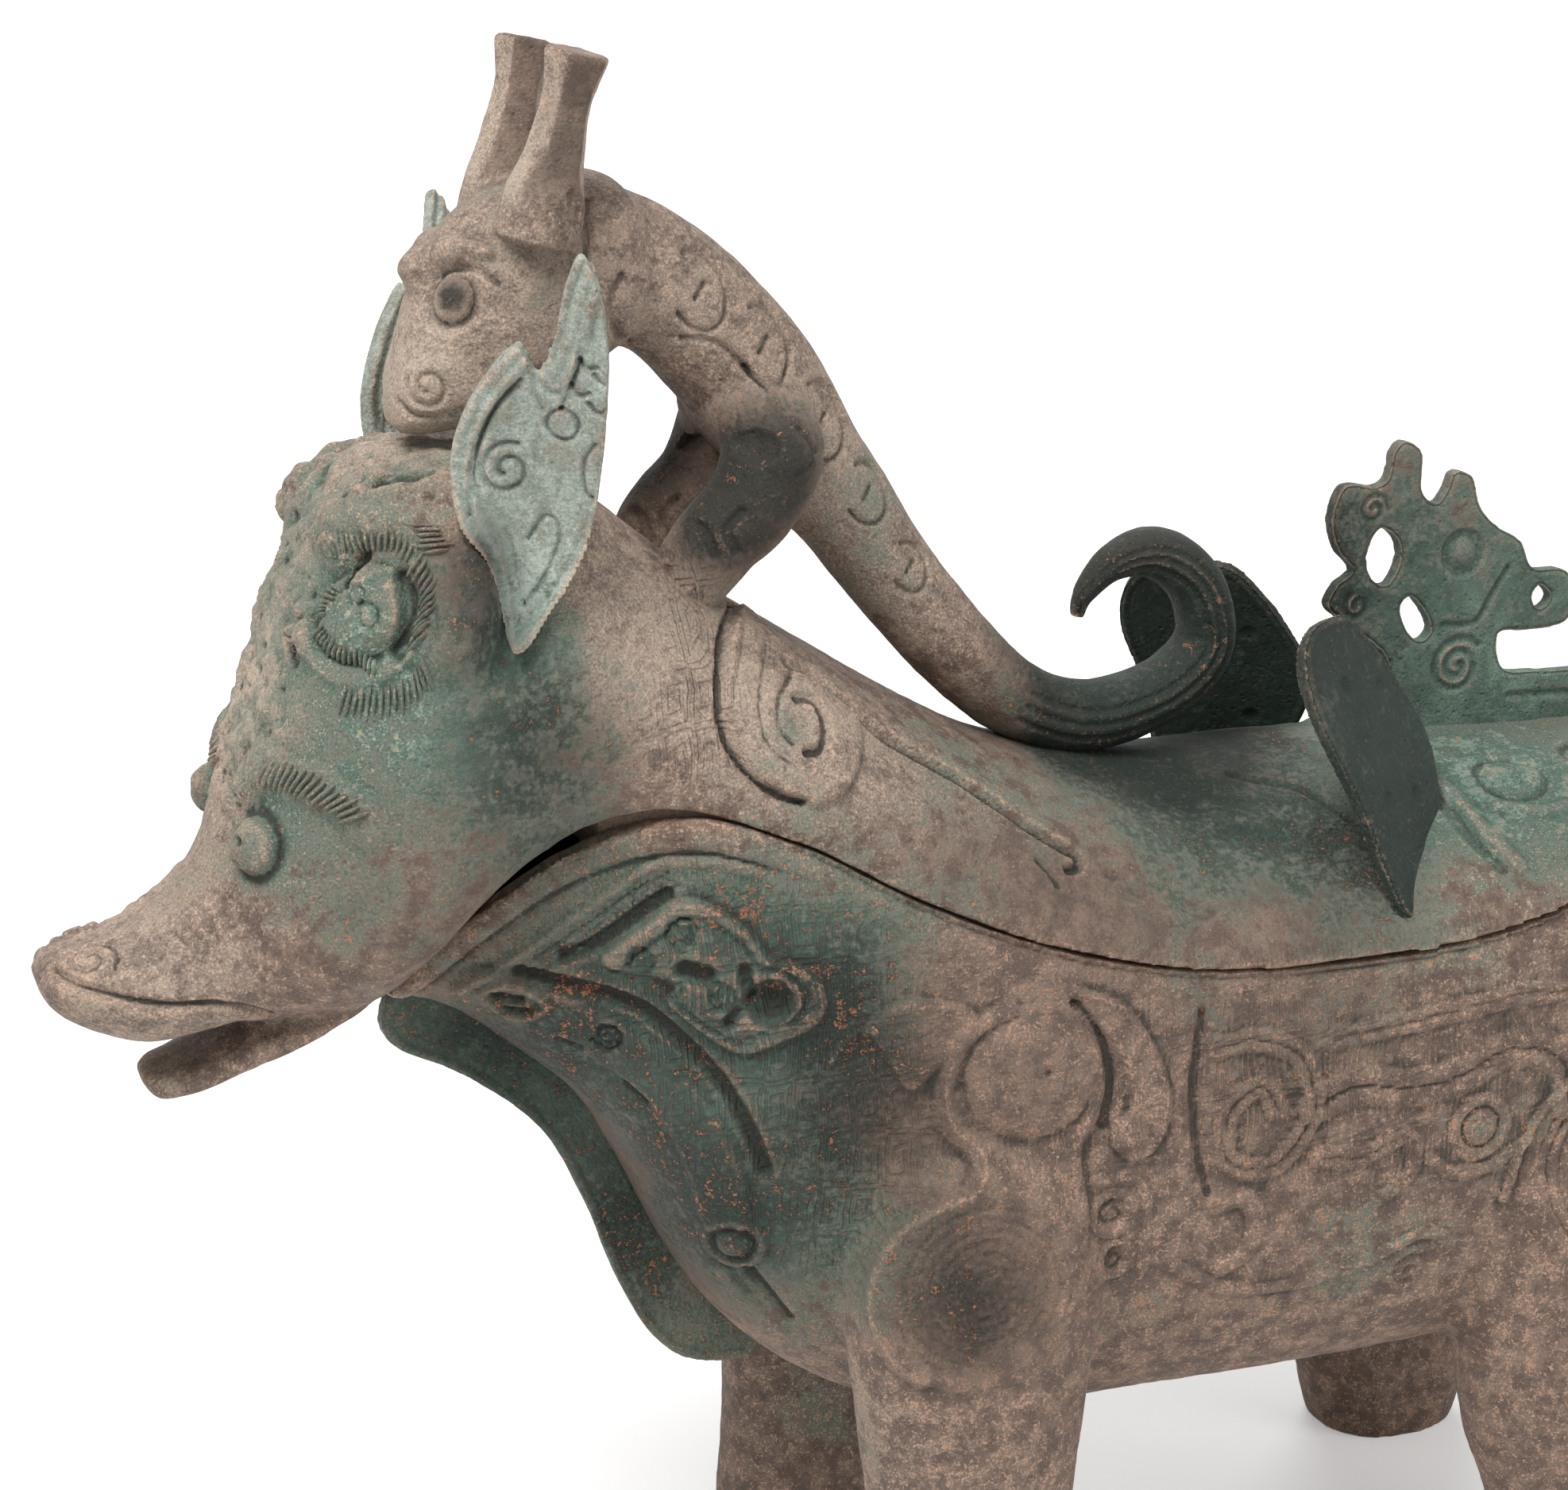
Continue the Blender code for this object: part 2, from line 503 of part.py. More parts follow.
turn = math.radians(EAR_TURN)
rear_turn = math.radians(REAR_EAR_TURN)
ear_root = dome_half_width(EAR_X, LOW_RIM_Z + EAR_RISE + EAR_ROOT)
for side, word in ((-1, "left"), (1, "right")):
    ear = plate("ear_" + word, EAR, [], EAR_THICKNESS)
    origin = (EAR_X, side * (ear_root - EAR_SINK), LOW_RIM_Z + EAR_RISE)
    placed(ear, origin, (math.cos(turn), side * math.sin(turn), 0), (-0.05, side * 0.25, 0.97))
    combine(ear, lid_hull, "DIFFERENCE")
    root = (origin[0] - 2.0, origin[1] + side * 2.5, origin[2] + EAR_ROOT)
    tang(ear, lid, "ear_tang_" + word, root, (0.2, -side, -0.2), (0, 0, 1), (5.0, 0.0, 0.0),
         (TANG_LENGTH, TANG_WIDTH, TANG_THICKNESS))
    pieces["ear_" + word] = ear

    rear = plate("rear_ear_" + word, REAR_EAR, [], EAR_THICKNESS)
    origin = (REAR_EAR_X, side * (BODY_HALF_WIDTH - 2.0), LOW_RIM_Z + 10.0)
    across = (math.cos(rear_turn), -side * math.sin(rear_turn), 0)
    up = (-0.233, -side * 0.323, 0.917)
    placed(rear, origin, across, up)
    combine(rear, lid_hull, "DIFFERENCE")
    tang(rear, lid, "rear_ear_tang_" + word, origin, across, up, (22.0, 7.0, 0.0),
         (TANG_WIDTH, TANG_LENGTH, TANG_THICKNESS))
    pieces["rear_ear_" + word] = rear

crest = plate("rear_crest", CREST, CREST_HOLES, CREST_THICKNESS)
origin = (CREST_X, 0.0, ridge_z(CREST_X))
placed(crest, origin, (1, 0, 0), (0, 0, 1))
combine(crest, lid_hull, "DIFFERENCE")
for number, shift in ((1, -14.0), (2, 22.0)):
    tang(crest, lid, "crest_tang_" + str(number), origin, (1, 0, 0), (0, 0, 1), (shift, -1.0, 0.0),
         (TANG_WIDTH, TANG_LENGTH, TANG_THICKNESS))
pieces["rear_crest"] = crest


def dragon_rings(grow):
    rows = spline(DRAGON, 2)
    x = DRAGON_X + rows[:, 0]
    path = np.column_stack([x, np.zeros(len(x)), ridge_z(x) + rows[:, 1]])
    path[0] += grow * (path[0] - path[1]) / np.linalg.norm(path[0] - path[1])
    return tube_rings(path, rows[:, 2] + grow, rows[:, 3] + grow, TUBE_RING)


def dragon_head_rings(grow):
    rows = spline(DRAGON_HEAD, 2)
    base = np.array([DRAGON_X, ridge_z(DRAGON_X)])
    lower = offset(rows[:, 0:2] + base, -grow)
    upper = offset(rows[:, 2:4] + base, grow)
    return [section(low, high, row[4] + grow, 0.42, 0.85, 0.0)
            for low, high, row in zip(lower, upper, rows)]


dragon = loft("dragon_body", dragon_rings(0.0))
dragon_hull = helper(loft("dragon_hull", dragon_rings(JOIN_GAP)))
combine(dragon, lid_hull, "DIFFERENCE")
tail_root = DRAGON_X + 103.0
tail_foot = (tail_root, 0.0, ridge_z(tail_root))
tang(dragon, lid, "tail_tang", tail_foot, (1, 0, 0), (0, 0, 1), (0.0, -1.0, 0.0),
     (TANG_WIDTH, TANG_LENGTH, TANG_THICKNESS))
pieces["dragon_body"] = dragon

head = loft("dragon_head", dragon_head_rings(0.0))
head_hull = helper(loft("dragon_head_hull", dragon_head_rings(JOIN_GAP)))
pieces["dragon_head"] = head

base_z = ridge_z(DRAGON_X)
for side, word in ((-1, "left"), (1, "right")):
    rows = spline(FORELEG, 3)
    path = np.column_stack([DRAGON_X + rows[:, 0], side * rows[:, 1], base_z + rows[:, 2]])
    leg = loft("dragon_foreleg_" + word, tube_rings(path, rows[:, 3], rows[:, 3], TUBE_RING))
    combine(leg, dragon_hull, "DIFFERENCE")
    combine(leg, lid_hull, "DIFFERENCE")
    foot = (DRAGON_X + 13.0, side * 15.0, base_z - 13.0)
    tang(leg, lid, "foreleg_tang_" + word, foot, (0.85, 0, -0.52), (0.52, 0, 0.85), (0.0, -2.0, 0.0),
         (TANG_WIDTH, TANG_LENGTH, TANG_THICKNESS))
    pieces["dragon_foreleg_" + word] = leg

    rows = spline(HORN, 2)
    lean = math.radians(HORN_LEAN)
    aim = Vector((math.sin(lean), side * 0.1, math.cos(lean))).normalized()
    origin = (DRAGON_X - 15.3, side * HORN_SPREAD, base_z + 63.5)
    turns = np.linspace(0, 2 * math.pi, TUBE_RING, endpoint=False)
    rings = [np.column_stack([np.cos(turns) * r, np.sin(turns) * r, np.full(TUBE_RING, HORN_HEIGHT * up)])
             for up, r in rows]
    horn = loft("dragon_horn_" + word, rings)
    horn.rotation_euler = aim.to_track_quat("Z", "Y").to_euler()
    horn.location = Vector(origin) * MM
    combine(horn, head_hull, "DIFFERENCE")
    tang(horn, head, "horn_tang_" + word, origin, (0, 1, 0), aim, (0.0, 0.0, 0.0),
         (TANG_WIDTH, TANG_LENGTH, TANG_THICKNESS))
    pieces["dragon_horn_" + word] = horn
combine(head, dragon_hull, "DIFFERENCE")

# Two loose bodies: the vessel, and the lid that lifts along Z
vessel_group = bpy.data.objects.new("vessel", None)
lid_group = bpy.data.objects.new("lid", None)
lid_group.location = (0.0, 0.0, LOW_RIM_Z * MM)
for group in (vessel_group, lid_group):
    bpy.context.scene.collection.objects.link(group)
bpy.context.view_layer.update()

VESSEL_PIECES = ("vessel_body", "front_leg_left", "front_leg_right", "hind_leg_left", "hind_leg_right",
                 "chest_flange", "handle")
BROWN = (0.27, 0.19, 0.14, 1.0)
GREEN = (0.19, 0.27, 0.23, 1.0)
for name, piece in pieces.items():
    group = vessel_group if name in VESSEL_PIECES else lid_group
    piece.parent = group
    piece.matrix_parent_inverse = group.matrix_world.inverted()
    bronze = bpy.data.materials.new(name + "_bronze")
    bronze.use_nodes = True
    shader = bronze.node_tree.nodes["Principled BSDF"]
    shader.inputs["Base Color"].default_value = BROWN if name in VESSEL_PIECES else GREEN
    shader.inputs["Metallic"].default_value = 0.6
    shader.inputs["Roughness"].default_value = 0.6
    piece.data.materials.clear()
    piece.data.materials.append(bronze)
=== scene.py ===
import math

import bmesh
import bpy
import numpy as np
from mathutils import Matrix, Vector
from mathutils.geometry import tessellate_polygon
from mathutils.kdtree import KDTree


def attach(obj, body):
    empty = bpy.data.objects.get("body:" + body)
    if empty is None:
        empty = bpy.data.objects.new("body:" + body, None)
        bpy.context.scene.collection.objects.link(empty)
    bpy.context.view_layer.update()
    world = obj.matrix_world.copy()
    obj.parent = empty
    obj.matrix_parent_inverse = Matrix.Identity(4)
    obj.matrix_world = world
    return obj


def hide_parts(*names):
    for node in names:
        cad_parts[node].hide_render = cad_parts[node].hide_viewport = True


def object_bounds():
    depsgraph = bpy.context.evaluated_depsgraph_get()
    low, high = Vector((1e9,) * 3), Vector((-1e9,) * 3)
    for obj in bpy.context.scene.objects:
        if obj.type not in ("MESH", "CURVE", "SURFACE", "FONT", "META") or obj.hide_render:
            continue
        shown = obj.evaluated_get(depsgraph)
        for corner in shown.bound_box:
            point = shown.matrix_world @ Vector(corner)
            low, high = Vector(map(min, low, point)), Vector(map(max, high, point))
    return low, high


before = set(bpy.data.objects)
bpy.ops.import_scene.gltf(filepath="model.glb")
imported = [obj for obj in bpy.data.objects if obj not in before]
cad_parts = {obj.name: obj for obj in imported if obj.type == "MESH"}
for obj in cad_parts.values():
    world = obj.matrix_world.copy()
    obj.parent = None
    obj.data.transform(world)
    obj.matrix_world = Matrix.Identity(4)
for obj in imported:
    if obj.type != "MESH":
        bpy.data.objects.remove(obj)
cad_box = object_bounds()

# All tables are in millimetres; meshes are made in metres
MM = 0.001

# Driving sizes of the casting, as in the CAD part
LEG_LENGTH = 60.0
BODY_LENGTH = 312.0
BODY_DEPTH = 107.0
BODY_HALF_WIDTH = 60.0
SPOUT_TIP_X = -147.0
RIM_WAVE = 40.0
HEAD_LENGTH = 69.0
HEAD_HALF_WIDTH = 41.0
CROWN_RISE = 111.0
BACK_RISE = 32.0
HANDLE_REACH = 51.0
WALL = 4.0
SIDE_BULGE = 0.12
SEAM_GAP = 0.6
SPOUT_GAP = 2.4
TONGUE_DEPTH = 7.0
TONGUE_WALL = 3.0
TONGUE_CLEARANCE = 0.6
TONGUE_BITE = 3.0
LID_LEDGE = 5.0
LEG_SPREAD = 48.0
FLANGE_THICKNESS = 6.0
EAR_THICKNESS = 4.0
CREST_THICKNESS = 5.0
HORN_HEIGHT = 28.3
HORN_SPREAD = 14.5
HORN_LEAN = 13.0
EAR_TURN = 25.0
REAR_EAR_TURN = 35.8
FRONT_LEG_X = SPOUT_TIP_X + 0.3526 * BODY_LENGTH
HIND_LEG_X = SPOUT_TIP_X + 0.8333 * BODY_LENGTH
EAR_X = SPOUT_TIP_X + 0.0753 * BODY_LENGTH
REAR_EAR_X = SPOUT_TIP_X + 0.6378 * BODY_LENGTH
CREST_X = SPOUT_TIP_X + 0.8237 * BODY_LENGTH
DRAGON_X = SPOUT_TIP_X + 0.1571 * BODY_LENGTH
LOW_RIM_Z = LEG_LENGTH + BODY_DEPTH

# Places and sizes that go with them
LID_WALL = WALL + 1.2
SPOUT_END = 0.17
SPOUT_EASE = 0.1
TONGUE_ENDS = (0.12, 0.91)
TONGUE_HOLE_ENDS = (0.132, 0.898)
LID_HOLE_ENDS = (0.132, 0.885)
HORN_FOOT_Z = 322.0
EAR_SPREAD = 29.5
EAR_RISE = 0.709
LEG_ROUNDNESS = 0.85
BODY_ROUNDNESS = 0.65
UNDER_SKIN = 2.0
CUT_ABOVE = 30.0
CUT_BELOW = 20.0

# How finely the skins are meshed, shaded and lined
VESSEL_GRAIN = 0.9
LID_GRAIN = 0.8
HANDLE_GRAIN = 0.8
DRAGON_GRAIN = 0.6
PLATE_GRAIN = 0.5
MOST_TRIANGLES = 190000
PLATE_TRIANGLES = 60000
SHARP_ANGLE = 52.0
RING = 96
PER_GAP = 8
LINE_CELL = 0.006

# Middles of the big eye and of the boss eye on the left side, and the way the big eye looks
BIG_EYE = (-152.4, -29.3, 251.1)
BIG_EYE_OUT = (-0.6, -0.74, 0.3)
BOSS_EYE = (-174.7, -21.0, 204.7)

# The left side as it stands, and mirrored to the right
BOTH_SIDES = (np.array([1.0, 1.0, 1.0]), np.array([1.0, -1.0, 1.0]))

# Multipliers and mask of the hash behind the smooth noise
HASH_STEPS = np.array([73856093, 19349663, 83492791])
HASH_SEED = 2654435761
HASH_MIX = 1274126177
HASH_MASK = 0xFFFF

# Camera at the photograph's viewing angle, in degrees, millimetres and metres
CAMERA_AZIMUTH = -20.0
CAMERA_ELEVATION = 16.0
CAMERA_LENS = 76.6
CAMERA_TARGET = (-0.0595, 0.0, 0.2079)
CAMERA_DISTANCE = 0.697

# Section tables and outlines, as in the CAD part
RIM = [(0.0, 0.0), (0.05, 0.48), (0.11, 0.87), (0.165, 1.0), (0.235, 0.86), (0.315, 0.52),
       (0.405, 0.225), (0.5, 0.045), (0.6, 0.0), (0.735, 0.06), (0.86, 0.32), (1.0, 0.72)]
BODY = [(0.0, 0.0, 0.986, 0.15), (0.026, 0.04, 0.949, 0.27), (0.055, 0.085, 0.846, 0.4),
        (0.09, 0.125, 0.738, 0.51), (0.13, 0.155, 0.589, 0.62), (0.17, 0.18, 0.43, 0.7),
        (0.21, 0.215, 0.262, 0.755), (0.26, 0.262, 0.131, 0.81), (0.33, 0.33, 0.037, 0.88),
        (0.42, 0.42, 0.0, 0.94), (0.53, 0.53, 0.0, 0.985), (0.64, 0.64, 0.0, 1.0),
        (0.75, 0.75, 0.005, 0.985), (0.83, 0.84, 0.035, 0.92), (0.89, 0.915, 0.15, 0.8),
        (0.935, 0.968, 0.327, 0.64), (0.965, 1.0, 0.57, 0.46), (0.985, 1.01, 0.86, 0.28),
        (1.0, 1.007, 1.14, 0.1)]
HEAD = [(1.0, 0.076, 1.0, 0.093, 0.12, 0.5, 0.9), (0.964, 0.031, 0.949, 0.124, 0.27, 0.5, 0.9),
        (0.862, -0.013, 0.84, 0.142, 0.38, 0.5, 0.9), (0.71, -0.047, 0.705, 0.173, 0.45, 0.45, 0.9),
        (0.558, -0.036, 0.57, 0.231, 0.51, 0.42, 0.95), (0.42, -0.022, 0.475, 0.324, 0.6, 0.4, 0.95),
        (0.275, -0.03, 0.39, 0.5, 0.73, 0.38, 0.95), (0.145, -0.02, 0.295, 0.68, 0.85, 0.32, 0.95),
        (0.05, 0.01, 0.165, 0.865, 0.94, 0.28, 0.9)]
BACK = [(0.021, 0.0, 0.975, 1.0, 0.25, 0.8), (0.055, 0.052, 1.0, 1.0, 0.22, 0.72),
        (0.095, 0.106, 0.957, 1.0, 0.15, 0.75), (0.135, 0.157, 0.795, 0.95, 0.08, 0.8),
        (0.175, 0.215, 0.6, 0.5, 0.03, 0.85), (0.23, 0.272, 0.45, 0.0, 0.0, 0.95),
        (0.31, 0.343, 0.27, 0.0, 0.0, 1.1), (0.41, 0.426, 0.1, 0.0, 0.0, 1.2),
        (0.52, 0.529, 0.01, 0.0, 0.0, 1.28), (0.63, 0.638, 0.0, 0.0, 0.0, 1.3),
        (0.74, 0.744, -0.012, 0.0, 0.0, 1.25), (0.83, 0.83, -0.025, 0.0, 0.0, 1.15),
        (0.9, 0.897, -0.03, 0.0, 0.0, 1.0), (0.95, 0.942, -0.03, 0.0, 0.0, 0.9),
        (0.98, 0.971, -0.015, 0.0, 0.0, 0.8), (0.995, 0.989, 0.0, 0.0, 0.0, 0.8)]
JAW = [(49.5, -15.0, -13.0, 5.0), (46.5, -18.0, -11.5, 10.0), (39.0, -16.8, -9.0, 13.0),
       (29.0, -12.6, -3.0, 16.0), (18.0, -7.4, 1.0, 19.0), (7.0, -0.6, 5.0, 20.0)]
FRONT_LEG = [(0.0, 0.0, 0.0, 0.0, 19.5, 15.0), (0.1, 0.0, 0.0, 0.0, 21.0, 16.0),
             (0.3, 0.0, 0.8, -0.3, 21.2, 15.5), (0.6, 0.0, 1.5, -0.3, 21.4, 15.0),
             (0.9, 0.0, 1.6, 0.0, 22.2, 15.5), (1.0, 0.16, 1.2, 0.5, 24.8, 16.0),
             (1.0, 0.3, 1.0, 1.2, 27.0, 16.0), (1.0, 0.44, 1.5, 1.5, 28.0, 15.0),
             (1.0, 0.565, 2.0, 1.0, 25.0, 13.0), (1.0, 0.66, 2.5, 0.0, 18.0, 10.5),
             (1.0, 0.715, 2.5, -1.0, 8.0, 7.0)]
HIND_LEG = [(0.0, 0.0, 7.0, 0.0, 18.0, 15.0), (0.1, 0.0, 7.0, 0.0, 20.0, 16.0),
            (0.25, 0.0, 6.5, -0.3, 22.0, 16.0), (0.5, 0.0, 4.0, -0.3, 24.0, 15.5),
            (0.75, 0.0, 1.0, 0.0, 27.0, 15.5), (1.0, 0.0, -0.5, 0.0, 29.0, 16.0),
            (1.0, 0.14, -1.0, 0.5, 30.5, 16.0), (1.0, 0.3, -1.0, 1.0, 31.5, 15.5),
            (1.0, 0.44, 0.0, 1.0, 30.5, 14.5), (1.0, 0.57, 1.0, 0.0, 26.0, 12.0),
            (1.0, 0.66, 1.0, -1.0, 18.0, 9.0), (1.0, 0.72, 1.0, -2.0, 8.0, 6.0)]
FLANGE = [(-0.5, -10.0), (2.0, -3.0), (12.0, -2.0), (42.0, -24.0), (56.0, -54.0), (70.0, -76.0),
          (80.0, -86.0), (79.0, -96.0), (66.0, -95.4), (57.0, -88.7), (50.0, -76.0), (43.1, -57.0),
          (36.4, -42.6), (29.6, -33.3), (22.9, -27.3), (13.0, -20.5), (3.0, -15.2)]
HANDLE = [(-0.4, -4.0, 8.0, 8.5), (-0.12, 2.0, 8.0, 9.0), (0.24, 11.0, 8.5, 9.5),
          (0.56, 9.0, 8.5, 9.5), (0.78, -6.0, 8.5, 9.0), (0.832, -25.0, 8.5, 9.0),
          (0.73, -45.0, 8.0, 8.5), (0.45, -61.0, 7.5, 8.0), (0.06, -69.0, 7.5, 8.0),
          (-0.42, -73.0, 7.0, 7.5)]
EAR = [(0.0, 0.0), (-4.3, 15.0), (-9.0, 25.0), (-11.0, 36.0), (-8.2, 45.3), (-3.8, 52.4), (2.4, 58.5),
       (6.2, 53.0), (9.8, 60.5), (12.1, 70.0), (15.4, 76.8), (18.6, 70.5), (19.8, 58.0), (18.2, 41.0),
       (14.5, 22.0), (7.8, 8.5)]
REAR_EAR = [(6.0, -5.0), (3.0, 8.0), (2.5, 20.0), (0.0, 31.0), (-2.5, 40.0), (-2.6, 48.5), (0.5, 55.5),
            (7.0, 59.5), (16.0, 60.4), (24.0, 58.8), (31.0, 50.5), (36.5, 41.0), (40.0, 33.0),
            (40.5, 25.0), (38.0, 17.0), (34.0, 10.0), (22.0, 6.0), (14.0, 2.0)]
CREST = [(-24.0, -4.0), (-27.0, 16.0), (-37.0, 25.0), (-43.0, 30.0), (-41.0, 35.0), (-37.2, 38.0),
         (-41.3, 43.0), (-43.0, 50.0), (-40.0, 57.0), (-33.0, 56.3), (-29.5, 58.0), (-28.5, 63.5),
         (-25.6, 66.0), (-21.4, 63.0), (-21.2, 55.0), (-17.3, 51.5), (-14.6, 54.5), (-13.0, 58.3),
         (-8.5, 57.0), (-6.0, 50.0), (-1.2, 45.3), (5.0, 41.5), (8.6, 35.0), (17.0, 34.0), (21.0, 27.5),
         (17.0, 21.5), (7.0, 20.8), (0.4, 20.5), (2.0, 12.5), (10.0, 11.0), (30.0, 10.0), (37.0, 5.0),
         (36.0, -4.0)]
CREST_HOLES = [[(-31.1, 47.0), (-34.0, 41.5), (-32.6, 36.0), (-28.5, 34.0), (-25.6, 39.0),
                (-26.4, 44.0)],
               [(-25.0, 28.5), (-22.5, 22.5), (-19.0, 20.5), (-16.8, 23.0), (-19.0, 27.5),
                (-22.5, 31.0)],
               [(10.5, 31.0), (8.6, 28.3), (10.8, 25.3), (13.6, 28.0)]]
DRAGON = [(-5.0, 47.0, 12.0, 11.0), (0.0, 49.0, 15.0, 13.0), (14.0, 54.2, 13.8, 13.0),
          (25.0, 51.8, 13.8, 12.8), (33.5, 46.0, 14.0, 12.8), (42.5, 38.5, 12.6, 12.2),
          (51.0, 33.6, 11.0, 11.2), (59.0, 27.0, 9.8, 10.5), (68.0, 21.0, 9.5, 10.0),
          (78.0, 14.8, 9.0, 9.5), (90.0, 8.8, 8.5, 9.0), (103.0, 6.6, 8.0, 8.8),
          (115.0, 8.6, 7.5, 8.6), (128.9, 14.9, 6.9, 8.4), (135.7, 23.4, 6.2, 8.2),
          (133.7, 34.4, 6.1, 7.8), (128.1, 41.0, 5.9, 7.2), (120.5, 43.6, 5.3, 6.2),
          (112.3, 40.4, 3.9, 4.8), (106.3, 33.5, 2.4, 3.2), (105.0, 28.5, 1.4, 2.0)]
DRAGON_HEAD = [(-43.0, 19.0, -43.5, 22.0, 5.0), (-41.0, 17.5, -43.5, 26.5, 8.5),
               (-35.0, 17.5, -41.5, 35.0, 11.0), (-26.0, 18.5, -38.5, 45.0, 13.5),
               (-16.0, 22.0, -33.5, 55.0, 16.0), (-8.0, 26.5, -24.0, 63.0, 17.0),
               (-1.0, 30.5, -11.0, 67.5, 17.0), (6.0, 36.0, 1.0, 66.0, 15.5),
               (9.0, 43.0, 7.0, 60.0, 11.0)]
FORELEG = [(27.0, 7.0, 22.0, 9.0), (30.9, 14.0, 12.3, 10.4), (26.0, 15.5, 1.5, 9.4),
           (19.4, 15.5, -4.8, 8.8), (14.7, 15.0, -10.4, 8.4), (10.1, 14.5, -17.9, 7.0)]
HORN = [(-0.3, 8.6), (0.0, 7.8), (0.2, 6.6), (0.45, 5.6), (0.68, 5.0), (0.85, 5.7), (0.95, 6.4),
        (1.0, 6.2)]
# Half steps along the stations of the lid's tables, and where its hollow starts
LID_STEPS = 2 * (len(HEAD) + len(BACK)) - 1
LID_HOLLOW_START = 10


# Curves and sections
def unit(vector):
    return np.asarray(vector, dtype=float) / np.linalg.norm(vector)


def square_to(axis, vector):
    """Unit vector square to an axis, nearest to a given vector."""
    return unit(vector - axis * axis.dot(vector))


def runs(points):
    """Unit vectors along a line of points."""
    run = np.gradient(points, axis=0)
    return run / np.linalg.norm(run, axis=1)[:, None]


def rounded(wave, roundness):
    """Sine or cosine that is squarer below a roundness of one, with its sign kept."""
    return np.sign(wave) * np.abs(wave) ** roundness


def spline(rows, per_gap):
    """Smooth curve through rows of numbers, with per_gap steps between neighbours."""
    rows = np.asarray(rows, dtype=float)
    ends = np.vstack([2 * rows[0] - rows[1], rows, 2 * rows[-1] - rows[-2]])
    made = []
    for index in range(len(rows) - 1):
        before, start, end, after = ends[index:index + 4]
        for step in range(per_gap):
            t = step / per_gap
            made.append(start + 0.5 * t * (end - before
                                           + t * (2 * before - 5 * start + 4 * end - after
                                                  + t * (3 * (start - end) + after - before))))
    made.append(rows[-1])
    return np.array(made)


def closed_spline(rows, per_gap):
    """Smooth closed curve through rows of numbers."""
    rows = [tuple(row) for row in rows]
    span = spline(rows[-2:] + rows + rows[:2], per_gap)
    return span[2 * per_gap:2 * per_gap + len(rows) * per_gap]


def value_at(table, place):
    """Value of a smooth curve through (place, value) pairs."""
    xs, ys = np.asarray(table, dtype=float).T
    slopes = np.gradient(ys, xs)
    index = np.clip(np.searchsorted(xs, place) - 1, 0, len(xs) - 2)
    span = xs[index + 1] - xs[index]
    t = (np.clip(place, xs[0], xs[-1]) - xs[index]) / span
    return (ys[index] * (1 + 2 * t) * (1 - t) ** 2 + ys[index + 1] * t * t * (3 - 2 * t)
            + span * t * (1 - t) * (slopes[index] * (1 - t) - slopes[index + 1] * t))


def offset(points, distance):
    run = runs(points)
    return points + distance * np.column_stack([-run[:, 1], run[:, 0]])


def body_x(place):
    return SPOUT_TIP_X + BODY_LENGTH * place


def body_place(x):
    """Share of the body's length at a place along it."""
    return np.clip((x - SPOUT_TIP_X) / BODY_LENGTH, 0.0, 1.0)


def rim_z(place):
    return LOW_RIM_Z + RIM_WAVE * value_at(RIM, place)


def seam_z(place):
    near_spout = np.clip((SPOUT_END - place) / SPOUT_EASE, 0.0, 1.0)
    return rim_z(place) + SEAM_GAP + (SPOUT_GAP - SEAM_GAP) * near_spout


def body_half_width(place):
    return BODY_HALF_WIDTH * value_at([(row[0], row[3]) for row in BODY], place)


def ridge_z(x):
    table = [(body_x(row[1]), BACK_RISE + (CROWN_RISE - BACK_RISE) * row[2]) for row in BACK]
    return LOW_RIM_Z + value_at(table, x)


def section(flat, crown, half_width, swell, roundness, bulge):
    """Ring across the mid plane: flat edge at one point, round edge at the other."""
    turn = np.linspace(-0.5 * math.pi, 1.5 * math.pi, RING, endpoint=False)
    across = np.cos(turn)
    rise = np.sin(turn)
    reach = np.abs(rise) ** roundness
    height = np.where(rise < 0, swell * (1 - reach), swell + (1 - swell) * reach)
    side = half_width * rounded(across, roundness)
    side = side * (1 + bulge * np.clip(rise, 0, 1))
    line = np.outer(height, np.asarray(crown) - np.asarray(flat)) + np.asarray(flat)
    return np.column_stack([line[:, 0], side, line[:, 1]])


def tube_rings(path, radius, half_width, count):
    """Rings square to a path that lies mostly in the mid plane."""
    turn = np.linspace(0, 2 * math.pi, count, endpoint=False)
    rings = []
    for point, along, high, wide in zip(path, runs(path), radius, half_width):
        side = square_to(along, np.array([0.0, 1.0, 0.0]))
        up = np.cross(along, side)
        rings.append(point + np.outer(np.cos(turn) * wide, side) + np.outer(np.sin(turn) * high, up))
    return rings


def body_rings(grow, above):
    rows = spline(BODY, PER_GAP)
    bottom = np.column_stack([body_x(rows[:, 1]), LEG_LENGTH + BODY_DEPTH * rows[:, 2]])
    bottom = offset(bottom, -grow)
    rings = []
    for row, low in zip(rows, bottom):
        rim = np.array([body_x(row[0]), rim_z(row[0])])
        top = rim + above * (rim - low) / np.linalg.norm(rim - low)
        half_width = max(BODY_HALF_WIDTH * row[3] + grow, 2.0)
        roundness = BODY_ROUNDNESS + 0.2 * max(0.0, 1.0 - row[0] / 0.35)
        rings.append(section(top, low, half_width, 0.0, roundness, SIDE_BULGE))
    return rings


